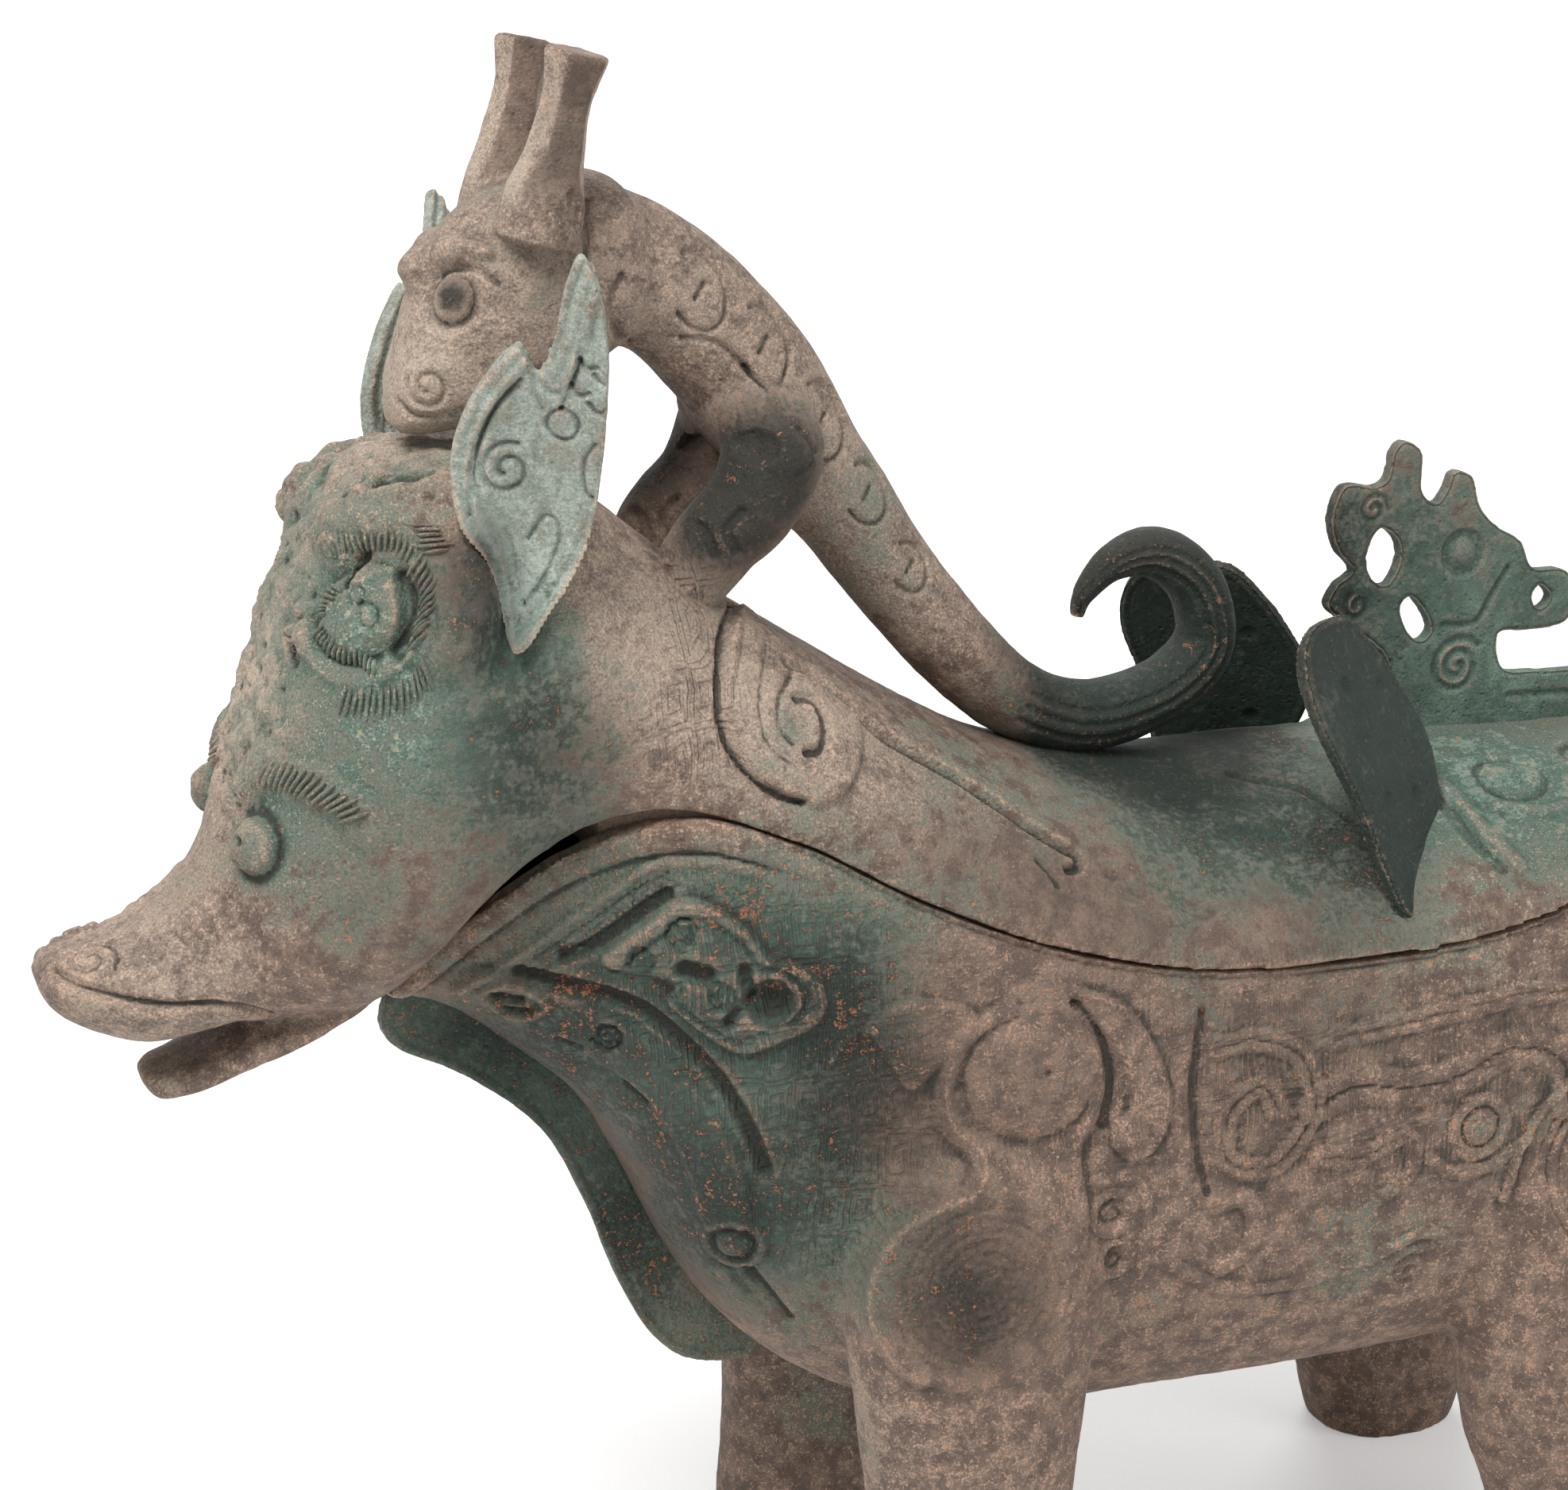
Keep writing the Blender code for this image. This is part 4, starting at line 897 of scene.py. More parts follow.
def draw_lid_flank(points, normals):
    """Shallow recess over the lid's edge."""
    flank = Face(points, normals, (0.0, -54.0, 186.0), (0.0, -0.85, 0.52), 40.0, 0.2)
    recess = flank.at((-6.9, -46.1, 187.7), (-1.3, -43.9, 187.7), (16.8, -51.3, 179.2), (13.7, -53.3, 177.6),
                      (-1.5, -49.4, 183.6))
    flank.patch(recess, -0.9, 0.8)
    return flank


def draw_back(points, normals):
    """Eye, brow and coil of the face on the lid's back."""
    back = Face(points, normals, (60.0, -40.0, 193.0), (0.0, -0.45, 0.9), 100.0, 0.2, (0.0, 0.9, 0.45))
    for spot, long, broad in (((19.4, -24.7, 194.2), 9.0, 2.2), ((33.0, -35.4, 188.9), 11.0, 2.6)):
        u, v = back.at(spot)[0]
        back.line([(u - 0.5 * long, v + 1.0), (u + 0.5 * long, v - 1.0)], broad, -0.9, 0.6)
    brow = back.at((75.1, -21.8, 194.2), (79.2, -30.4, 191.3), (80.4, -42.7, 185.7), (83.4, -51.2, 180.5))
    back.curve(brow, 1.8, -0.9)
    back.curve(brow + np.array([3.6, 0.0]), 1.8, 0.8)
    u, v = back.at((98.4, -28.6, 192.5))[0]
    back.line([(u - 3.5, v + 1.0), (u + 3.5, v - 1.0)], 4.0, 2.2, 0.8)
    back.ring((u, v), 7.5, 1.0, -0.9)
    back.curve([(u - 8.0, v - 9.0), (u + 2.0, v - 12.5), (u + 14.0, v - 10.0), (u + 22.0, v - 3.0)], 1.5, 0.9)
    back.line(spiral((u + 22.0, v + 6.0), 7.0, 1.0, 260.0, 1.7), 1.1, -1.1)
    back.curve(back.at((37.2, -16.0, 196.0), (49.5, -23.7, 193.8), (56.4, -34.3, 189.3)), 1.3, -1.0)
    return back


def draw_big_eye(points, normals):
    """Big eye with its lid and the brow that swells round it."""
    eye = Face(points, normals, BIG_EYE, BIG_EYE_OUT, 34.0, 0.1)
    eye.curve([(-8.0, 15.4), (-3.6, 17.4), (2.6, 19.6), (8.6, 19.2), (13.0, 16.0), (15.8, 10.4),
               (16.6, 4.0), (15.6, -3.0)], 6.2, 4.4, 0.8)
    eye.curve([(19.0, 19.0), (23.0, 10.0), (24.6, 2.0), (23.8, -6.0)], 4.0, -3.4, 0.9)
    eye.curve([(-3.4, 23.6), (0.7, 25.0), (5.0, 26.2)], 1.8, -2.0)
    eye.dome((-1.0, -0.6), 14.5, -1.5, 0.5)
    u, v = eye.u, eye.v
    eye.u, eye.v = 0.86 * (u + 2.6), v + 0.4 - 0.2 * (u + 2.6)
    eye.dome((0.0, 0.0), 9.0, 3.4, 0.6)
    eye.u, eye.v = u, v
    eye.line(spiral((-0.4, -1.2), 2.7, 1.4, 130.0, -0.9), 0.55, -0.8)
    eye.ring((-3.2, 2.6), 1.7, 0.45, -0.6)
    eye.curve([(5.2, 7.0), (7.0, 2.2), (7.2, -2.5), (5.6, -7.4)], 1.7, -2.0)
    eye.curve([(-15.4, -4.4), (-14.1, -7.3), (-11.7, -9.8), (-8.0, -11.8), (-1.7, -13.0), (3.3, -11.0),
               (6.8, -7.6)], 1.8, 1.1)
    eye.curve([(-3.4, 6.0), (0.2, 8.6), (4.2, 9.8), (6.8, 8.0)], 2.0, 1.0)
    eye.curve([(-2.8, 10.6), (-4.5, 7.6), (-6.4, 4.6)], 1.1, -1.9)
    eye.dome((-9.6, 10.0), 3.2, 1.5, 0.5)
    eye.ring((-9.6, 10.0), 1.5, 0.45, -0.6)
    eye.line([(-17.4, -2.5), (-18.6, -6.4), (-18.2, -11.0)], 0.8, -1.6)
    return eye


def draw_boss_eye(points, normals):
    """Small boss eye under its arched brow."""
    boss = Face(points, normals, BOSS_EYE, (-0.72, -0.64, 0.2), 36.0, 0.0)
    boss.ring((0.0, 0.0), 6.6, 1.2, -0.35)
    boss.dome((0.0, 0.0), 5.7, 4.6, 0.5)
    boss.dome((-0.8, 0.6), 1.25, -2.2, 0.4)
    brow = boss.at((-176.0, -8.0, 211.5), (-172.0, -16.0, 217.0), (-167.0, -25.0, 218.2),
                   (-160.5, -32.0, 216.0), (-155.5, -36.0, 210.5))
    boss.curve(brow, 3.6, 1.2, 0.6)
    return boss


def draw_nose(points, normals):
    """Curled nostril and folds of the nose."""
    nose = Face(points, normals, (-205.0, -9.5, 181.5), (-0.3, -0.5, 0.81), 26.0, 0.0, (0.0, 0.6, 0.6))
    centre = nose.at((-206.2, -9.2, 181.2))[0]
    nose.dome(centre, 6.0, 0.9, 0.7)
    nose.line(spiral(centre, 5.4, 1.0, -35.0, 1.45, 18), 0.65, -0.9)
    for fold in range(5):
        top = np.array([-197.5 + 2.9 * fold, -6.5 - 0.8 * fold, 185.3 + 0.8 * fold])
        low = np.array([-193.6 + 2.9 * fold, -14.0 - 1.0 * fold, 181.0 + 0.8 * fold])
        nose.line(nose.at(top, low) + np.array([1.4, 0.4]), 1.3, 0.75, 0.9, taper=0.4)
    return nose


def draw_lip(points, normals):
    """Line of the mouth with the lip under it."""
    lip = Face(points, normals, (-193.0, -18.0, 174.0), (-0.25, -0.95, 0.1), 34.0, 0.0)
    line = lip.at((-213.0, -7.5, 179.5), (-209.0, -12.7, 177.8), (-202.0, -16.0, 175.6),
                  (-194.9, -18.6, 174.0), (-185.0, -19.5, 173.4), (-178.0, -19.5, 172.0),
                  (-173.5, -20.0, 169.5))
    lip.curve(line, 0.75, -1.1)
    lip.curve(line - np.array([0.0, 2.4]), 1.7, 0.5)
    return lip


def forehead(points, normals):
    """Where the nodular skin of the forehead lies."""
    front = smooth((-normals[:, 0] - 0.25) / 0.35) * smooth((-138.0 - points[:, 0]) / 10.0)
    band = smooth((points[:, 2] - 196.0) / 14.0) * smooth((27.0 - np.abs(points[:, 1])) / 9.0)
    top = smooth((points[:, 2] - 262.0) / 8.0) * smooth((-112.0 - points[:, 0]) / 14.0)
    return np.clip(front * band + 0.8 * top, 0.0, 1.0)


def nodules(points, normals):
    lumps = np.maximum(value_noise(points, 4.6, 11) + 0.4 * value_noise(points, 2.2, 12), -0.3)
    pits = np.clip(value_noise(points, 2.6, 13) - 0.55, 0.0, 1.0)
    chin = 1.6 * np.exp(-np.sum((points - np.array([-133.0, 0.0, 280.0])) ** 2, axis=1) / 17.0 ** 2)
    return forehead(points, normals) * (1.7 * lumps - 3.2 * pits) - chin


def lid_seam(points, normals):
    """Raised strip along the lid's edge behind the head, with a shallow line over it."""
    above = points[:, 2] - seam_z(body_place(points[:, 0]))
    behind = smooth((points[:, 0] + 88.0) / 12.0)
    strip = behind * (0.4 * inside(above, 6.0, 1.2) - 0.2 * inside(np.abs(above - 8.0), 0.9, 0.8))
    return strip * (normals[:, 2] > -0.5)


def build_lid():
    jaw = []
    for ahead, bottom, top, half_width in spline(JAW, PER_GAP):
        x = SPOUT_TIP_X - ahead
        jaw.append(section((x, LOW_RIM_Z + bottom), (x, LOW_RIM_Z + top), half_width, 0.5, 0.9, 0.0))
    thing = cast_together("lid_casting", [loft(lid_rings(0.0, 0, LID_STEPS, 0.0)), loft(jaw)], LID_GRAIN, 4.0)
    raise_skin(thing, lid_seam)
    add_relief(thing, draw_neck, draw_lid_flank, draw_back, draw_big_eye, draw_boss_eye, draw_nose, draw_lip)
    roughen(thing, 0.35, nodules)
    cut(thing, loft(lid_rings(-LID_WALL, LID_HOLLOW_START, LID_STEPS - 8, -LID_LEDGE)))
    cut(thing, loft(mouth_rings(*LID_HOLE_ENDS, TONGUE_WALL, CUT_BELOW, LID_LEDGE + 0.8)))
    thin(thing)
    return thing


def build_tongue():
    """Ring under the lid that drops into the vessel's mouth."""
    outside = loft(mouth_rings(*TONGUE_ENDS, 0.0, TONGUE_DEPTH, TONGUE_BITE))
    thing = mesh_object("lid_inner_ring", *outside)
    cut(thing, loft(mouth_rings(*TONGUE_HOLE_ENDS, TONGUE_WALL, CUT_BELOW, LID_LEDGE + 3.0)))
    return thing


# Dragon on the neck
def draw_dragon_head(points, normals):
    """Eye, brow, curled nostril and mouth of the dragon."""
    head = Face(points, normals, (-131.7, -11.6, 306.7), (-0.5, -0.84, 0.2), 40.0, 0.1)
    head.dome((0.0, 0.0), 7.4, -1.2, 0.6)
    head.dome((0.3, -0.2), 4.6, 2.0, 0.6)
    head.ring((0.3, -0.2), 5.2, 0.9, -0.5)
    head.curve([(-9.0, 5.0), (-4.0, 8.4), (2.0, 9.4), (7.0, 8.6)], 2.6, 1.8, 0.8, taper=0.6)
    head.curve([(-6.0, 3.0), (-1.0, 6.0), (5.0, 5.6), (9.5, 3.0)], 0.8, -0.9)
    muzzle = head.at((-136.0, -11.0, 290.0))[0]
    head.dome(muzzle, 6.5, 0.9, 0.7)
    head.line(spiral(muzzle, 4.4, 1.2, 160.0, 1.25, 18), 0.6, -0.8)
    head.curve(head.at((-141.0, -6.0, 286.5), (-138.0, -9.5, 284.0), (-131.0, -12.0, 284.5),
                       (-123.0, -13.5, 287.5)), 0.7, -0.9)
    head.curve([(24.0, 20.0), (25.0, 10.0), (22.0, 1.0)], 0.9, -1.0, taper=0.4)
    head.curve([(31.0, 6.0), (29.0, 0.0), (29.5, -6.0)], 0.7, -0.8)
    return head


def draw_dragon_side(points, normals):
    """Scales along the dragon's back, lines along its tail and the marks on its foreleg."""
    side = Face(points, normals, (-60.0, -11.0, 275.0), (0.1, -0.97, 0.1), 110.0, 0.25)
    scales = [(-21.5, 30.6, 5.8, 8.0), (-8.0, 19.2, 5.6, 7.8), (4.4, 3.0, 5.8, 8.0), (14.8, -12.6, 5.2, 6.4),
              (24.6, -28.8, 4.4, 5.4)]
    for u, v, broad, long in scales:
        angle = np.radians(np.linspace(105.0, -150.0, 24))
        rise = long * np.sin(angle)
        side.line(np.column_stack([u + broad * np.cos(angle) - 0.1 * rise, v + rise]), 0.75, -0.8, taper=0.3)
        side.line([(u + 0.14 * long, v + 0.2 * long), (u - 0.14 * long, v - 0.18 * long)], 0.65, -0.8)
    side.curve([(-25.0, 21.6), (-19.1, 20.6), (-14.6, 17.4), (-9.5, 11.0)], 0.7, -0.9)
    rows = spline(DRAGON, 3)
    x = DRAGON_X + rows[:, 0]
    path = side.at(*np.column_stack([x, np.full(len(x), -9.0), ridge_z(x) + rows[:, 1]]))
    tail_start = 30
    tail = path[tail_start:]
    size = np.clip(rows[tail_start:, 2] / 8.0, 0.1, 1.0)
    for shift in (-3.2, 0.0, 3.2):
        side.line(tail + (offset(tail, 1.0) - tail) * (shift * size)[:, None], 0.6, -0.6)
    side.dome((-14.0, 0.0), 3.6, -1.8, 0.6)
    side.dome((-7.5, -0.6), 7.0, 1.2, 0.8)
    side.curve([(-6.4, 2.6), (-3.6, -1.4), (-4.4, -4.3), (-7.4, -5.8)], 0.5, -0.6)
    side.line([(-25.3, -15.0), (-23.8, -20.9)], 0.9, -1.0)
    side.curve([(-18.2, -12.4), (-21.2, -16.0), (-19.4, -20.6)], 0.9, -1.0)
    return side


def horn_rings(side):
    """Bottle horn: round at the foot, with a six-sided flared top."""
    lean = math.radians(HORN_LEAN)
    aim = Vector((math.sin(lean), side * 0.1, math.cos(lean))).normalized()
    turned = np.array(aim.to_track_quat("Z", "Y").to_matrix())
    origin = np.array((DRAGON_X - 15.3, side * HORN_SPREAD, ridge_z(DRAGON_X) + 63.5))
    count = 48
    angle = np.linspace(0, 2 * math.pi, count, endpoint=False)
    rings = []
    corner = np.mod(angle, math.pi / 3.0) - math.pi / 6.0
    flat = 0.95 * math.cos(math.pi / 6.0) / np.cos(corner) + 0.05
    for up, radius in spline(HORN, PER_GAP):
        share = smooth((up - 0.05) / 0.4)
        reach = radius * (1.0 + share * (1.06 * flat - 1.0))
        local = np.column_stack([np.cos(angle) * reach, np.sin(angle) * reach,
                                 np.full(count, HORN_HEIGHT * up)])
        rings.append(origin + local @ turned.T)
    return rings


def build_dragon():
    rows = spline(DRAGON, PER_GAP)
    x = DRAGON_X + rows[:, 0]
    path = np.column_stack([x, np.zeros(len(x)), ridge_z(x) + rows[:, 1]])
    skins = [loft(tube_rings(path, rows[:, 2], rows[:, 3], 48))]
    rows = spline(DRAGON_HEAD, PER_GAP)
    base = np.array([DRAGON_X, ridge_z(DRAGON_X)])
    skins.append(loft([section(row[0:2] + base, row[2:4] + base, row[4], 0.42, 0.85, 0.0) for row in rows]))
    for side in (-1, 1):
        rows = spline(FORELEG, PER_GAP)
        path = np.column_stack([DRAGON_X + rows[:, 0], side * rows[:, 1], base[1] + rows[:, 2]])
        skins.append(loft(tube_rings(path, rows[:, 3], rows[:, 3], 40)))
        skins.append(loft(horn_rings(side)))
    thing = cast_together("dragon_casting", skins, DRAGON_GRAIN, 4.5)
    add_relief(thing, draw_dragon_head, draw_dragon_side)
    roughen(thing, 0.3)
    cut(thing, under_lid())
    thin(thing)
    return thing


# Ears, crest and keel: plates with a raised rim
def plate_relief(thing, outline, holes, origin, along, up, draw, rim):
    """Raised rim round the outline and the openings, rounded at its edge, and the marks that draw lays."""
    width, rise, ease = rim
    out = np.cross(np.asarray(along, dtype=float), np.asarray(up, dtype=float))

    def heights(points, normals):
        height = np.zeros(len(points))
        for facing in (1.0, -1.0):
            face = Face(points, normals, origin, facing * out, 120.0, 0.5, up)
            face.u *= facing
            for loop in [outline] + holes:
                loop = closed_spline(loop, 4)
                gap, _ = line_gap(face.u, face.v, np.vstack([loop, loop[:1]]))
                groove = inside(np.abs(gap - width - 0.9), 0.5, 0.4)
                face.height += rise * inside(gap, width, 0.5) - 0.5 * rise * groove
                face.height -= ease * np.clip(1.0 - gap / 1.8, 0.0, 1.0) ** 2
            if draw is not None:
                draw(face)
            height[face.where] += face.height
        return height

    raise_skin(thing, heights)


def build_plate(name, outline, holes, thickness, origin, along, up, draw, rim, host, bend=None):
    skin = plate(outline, holes, thickness - 1.0, origin, along, up)
    thing = cast_together(name, [skin], PLATE_GRAIN, 0.0)
    plate_relief(thing, outline, holes, origin, along, up, draw, rim)
    if bend is not None:
        points, _ = read_mesh(thing.data)
        along = unit(along)
        up = square_to(along, np.asarray(up, dtype=float))
        away = points - np.asarray(origin)
        write_points(thing.data, points + np.outer(bend(away @ along, away @ up), np.cross(along, up)))
    roughen(thing, 0.25)
    cut(thing, host)
    thin(thing, PLATE_TRIANGLES)
    return thing


def ear_bend(u, v):
    """How far a front ear leans out at its foot, where it lies against the head, and along its hind edge."""
    front = 5.0 * np.clip(-u / 9.0, 0.0, 1.0) * np.exp(-((v - 24.0) / 14.0) ** 2)
    return front + 9.5 * np.clip(1.0 - v / 28.0, 0.0, 1.2) ** 2 + 0.011 * np.clip(u - 4.0, 0.0, 20.0) ** 2


def ear_marks(face):
    face.line(spiral((-2.6, 34.0), 5.6, 1.2, 70.0, 1.45, 18), 0.6, -0.8)
    face.curve([(-9.0, 26.0), (-8.6, 36.0), (-5.6, 45.0), (0.0, 52.0)], 0.6, -0.7)
    face.curve([(1.6, 55.0), (2.6, 50.0), (4.0, 46.5)], 0.5, -0.5)
    face.curve([(11.5, 62.0), (10.0, 54.0), (7.4, 47.0)], 0.5, -0.6)
    face.curve([(15.6, 69.0), (17.4, 60.0), (17.6, 50.0), (16.4, 36.0), (13.8, 24.0)], 0.6, -0.7)
    for u, v in ((12.6, 57.0), (15.6, 54.5), (11.2, 51.5), (14.6, 48.5)):
        face.curve([(u - 1.8, v + 0.6), (u - 0.4, v - 1.0), (u + 1.6, v - 0.4)], 0.5, -0.7)
    face.ring((7.8, 44.0), 3.0, 0.5, -0.7)
    face.curve([(14.0, 41.0), (12.0, 37.0), (12.4, 31.0), (15.0, 29.0)], 0.5, -0.7)
    face.curve([(1.4, 20.0), (4.6, 25.0), (7.4, 22.0), (5.6, 15.0), (1.4, 8.0)], 0.5, -0.6)
    face.curve([(-3.0, 22.0), (-0.6, 15.0), (1.0, 8.0)], 0.5, -0.5)


def rear_ear_marks(face):
    for spot in ((12.0, 46.0), (27.0, 42.0), (14.0, 20.0), (27.0, 18.0)):
        face.dome(spot, 2.2, -0.7, 0.7)


def crest_marks(face):
    face.ring((-10.0, 40.0), 4.4, 1.0, -0.8)
    face.dome((-10.0, 40.0), 2.6, 0.9, 0.6)
    face.line(spiral((-33.0, 51.5), 3.8, 0.8, 0.0, 1.4), 0.6, -0.7)
    face.line(spiral((-10.0, 14.0), 7.0, 1.0, 40.0, 2.0), 0.8, -0.8)
    face.line(spiral((-36.0, 30.0), 3.4, 0.8, 120.0, 1.2), 0.6, -0.7)
    face.curve([(2.0, 36.0), (-2.0, 30.0), (-6.0, 24.0), (-14.0, 24.0)], 0.7, -0.7)
    face.curve([(4.0, 6.0), (16.0, 5.5), (30.0, 4.5)], 0.8, -0.7)


def build_handle():
    rows = spline(HANDLE, PER_GAP)
    path = np.column_stack([body_x(1.0) + HANDLE_REACH * rows[:, 0], np.zeros(len(rows)),
                            LOW_RIM_Z + rows[:, 1]])
    skin = loft(tube_rings(path, rows[:, 2], rows[:, 3], 48))
    thing = cast_together("loop_handle", [skin], HANDLE_GRAIN, 0.0)

    def draw_lines(points, normals):
        side = Face(points, normals, (185.0, -8.0, 140.0), (0.0, -1.0, 0.0), 80.0, 0.1)
        line = side.at(*path)[10:-10]
        for shift in (-3.0, 3.0):
            side.line((line + (offset(line, 1.0) - line) * shift)[::3], 0.7, -0.6)
        return side

    add_relief(thing, draw_lines)
    roughen(thing, 0.3)
    cut(thing, under_vessel())
    thin(thing, PLATE_TRIANGLES)
    return thing


vessel = build_vessel()
lid = build_lid()
tongue = build_tongue()
dragon = build_dragon()
keel = build_plate("chest_keel", FLANGE, [], FLANGE_THICKNESS, (SPOUT_TIP_X, 0.0, LOW_RIM_Z), (1, 0, 0),
                   (0, 0, 1), None, (1.6, 0.3, 0.6), under_vessel())
crest = build_plate("crest_openwork", CREST, CREST_HOLES, CREST_THICKNESS,
                    (CREST_X, 0.0, float(ridge_z(CREST_X))), (1, 0, 0), (0, 0, 1), crest_marks,
                    (1.2, 0.1, 1.0), under_lid())
handle = build_handle()
ears = {}
turn, rear_turn = math.radians(EAR_TURN), math.radians(REAR_EAR_TURN)
for side, word in ((-1, "left"), (1, "right")):
    origin = (EAR_X, side * EAR_SPREAD, LOW_RIM_Z + EAR_RISE * CROWN_RISE)
    lean = ear_bend if side < 0 else (lambda u, v: -ear_bend(u, v))
    along = (math.cos(turn), side * math.sin(turn), 0.0)
    ears["ear_" + word] = build_plate("ear_leaf_" + word, EAR, [], EAR_THICKNESS, origin, along,
                                      (-0.05, side * 0.25, 0.97), ear_marks, (1.8, 0.7, 0.5), under_lid(),
                                      lean)
    origin = (REAR_EAR_X, side * (BODY_HALF_WIDTH - 2.0), LOW_RIM_Z + 10.0)
    along = (math.cos(rear_turn), -side * math.sin(rear_turn), 0.0)
    ears["rear_ear_" + word] = build_plate("rear_ear_leaf_" + word, REAR_EAR, [], EAR_THICKNESS, origin,
                                           along, (-0.233, -side * 0.323, 0.917), rear_ear_marks,
                                           (1.6, 0.2, 0.8), under_lid())


# Node trees
def put(tree, kind, inputs=(), **settings):
    """Node with its settings; each input is a value or another node's output."""
    node = tree.nodes.new(kind)
    for name, value in settings.items():
        setattr(node, name, value)
    for key, value in inputs.items() if isinstance(inputs, dict) else enumerate(inputs):
        if isinstance(value, bpy.types.NodeSocket):
            tree.links.new(value, node.inputs[key])
        else:
            node.inputs[key].default_value = value
    return node


def maths(tree, operation, *values):
    return put(tree, "ShaderNodeMath", values, operation=operation).outputs[0]


def blend(tree, amount, first, second):
    """Colour between two others."""
    return put(tree, "ShaderNodeMix", {0: amount, 6: first, 7: second}, data_type="RGBA").outputs[2]


def step_up(tree, value, low, high, most=1.0):
    """Soft step from nought to most between two values."""
    ramp = put(tree, "ShaderNodeMapRange", [value, low, high, 0.0, most], interpolation_type="SMOOTHSTEP")
    return ramp.outputs[0]


def noise(tree, vector, scale, detail, roughness=0.6):
    inputs = {"Vector": vector, "Scale": scale, "Detail": detail, "Roughness": roughness}
    return put(tree, "ShaderNodeTexNoise", inputs).outputs["Fac"]


def new_group(name, inputs, outputs, kind="ShaderNodeTree"):
    """Node group with its sockets, and the sockets to read from and to write to inside it."""
    tree = bpy.data.node_groups.new(name, kind)
    for way, sockets in (("INPUT", inputs), ("OUTPUT", outputs)):
        for title, socket in sockets:
            tree.interface.new_socket(title, in_out=way, socket_type="NodeSocket" + socket)
    return tree, tree.nodes.new("NodeGroupInput").outputs, tree.nodes.new("NodeGroupOutput").inputs


# Lash ridges and hatching that follow the brows: one small ridge along each step of a path
def lash_tree():
    tree, given, made = new_group("lash_row", [("Path", "Geometry"), ("Count", "Int"), ("Length", "Float"),
                                               ("Width", "Float"), ("Height", "Float"),
                                               ("Material", "Material")],
                                  [("Ridges", "Geometry")], "GeometryNodeTree")
    path = put(tree, "GeometryNodeMeshToCurve", {"Mesh": given["Path"]})
    steps = put(tree, "GeometryNodeResampleCurve", {"Curve": path.outputs["Curve"], "Count": given["Count"]})
    ridge = put(tree, "GeometryNodeMeshUVSphere", {"Segments": 8, "Rings": 5, "Radius": 0.5})
    out, aim = [put(tree, "GeometryNodeInputNamedAttribute", {"Name": name}, data_type="FLOAT_VECTOR")
                for name in ("out", "aim")]
    stand = put(tree, "FunctionNodeAlignRotationToVector", {"Vector": out.outputs["Attribute"]}, axis="Z")
    swing = put(tree, "FunctionNodeAlignRotationToVector",
                {"Rotation": stand.outputs["Rotation"], "Vector": aim.outputs["Attribute"]},
                axis="X", pivot_axis="Z")
    vary = put(tree, "FunctionNodeRandomValue", {2: 0.75, 3: 1.15, "Seed": 7})
    longer = maths(tree, "MULTIPLY", given["Length"], vary.outputs[1])
    size = put(tree, "ShaderNodeCombineXYZ", [longer, given["Width"], given["Height"]])
    place = put(tree, "GeometryNodeInstanceOnPoints",
                {"Points": steps.outputs["Curve"], "Instance": ridge.outputs["Mesh"],
                 "Rotation": swing.outputs["Rotation"], "Scale": size.outputs["Vector"]})
    whole = put(tree, "GeometryNodeRealizeInstances", {"Geometry": place.outputs["Instances"]})
    paint = put(tree, "GeometryNodeSetMaterial",
                {"Geometry": whole.outputs["Geometry"], "Material": given["Material"]})
    tree.links.new(paint.outputs["Geometry"], made["Ridges"])
    return tree


def lash_row(tree, points, outs, aims, count, length, width, height, material):
    """Mesh of one row of ridges along a path that lies on the skin."""
    mesh = bpy.data.meshes.new("lash_path")
    mesh.from_pydata((points * MM).tolist(), [(k, k + 1) for k in range(len(points) - 1)], [])
    for name, values in (("out", outs), ("aim", aims)):
        field = mesh.attributes.new(name, "FLOAT_VECTOR", "POINT")
        field.data.foreach_set("vector", np.asarray(values).ravel())
    row = new_object("lash_path", mesh)
    step = row.modifiers.new("ridges", "NODES")
    step.node_group = tree
    sockets = {item.name: item.identifier for item in tree.interface.items_tree if item.in_out == "INPUT"}
    for name, value in (("Count", count), ("Length", length * MM), ("Width", width * MM),
                        ("Height", height * MM), ("Material", material)):
        step[sockets[name]] = value
    made = evaluated_mesh(row)
    bpy.data.objects.remove(row)
    return made


def relax_line(points):
    for _ in range(4):
        points[1:-1] = 0.5 * points[1:-1] + 0.25 * (points[:-2] + points[2:])
    return points


def hatch_spots(origin, out, places, first, last):
    """Points along a line on an upright frame, and aims that turn from the first angle to the last."""
    out = unit(out)
    up = square_to(out, np.array([0.0, 0.0, 1.0]))
    across = np.cross(up, out)
    line = spline(places, 8)
    angle = np.radians(np.linspace(first, last, len(line)))
    spots = np.asarray(origin) + line[:, :1] * across + line[:, 1:2] * up
    return spots, np.outer(np.cos(angle), across) + np.outer(np.sin(angle), up)


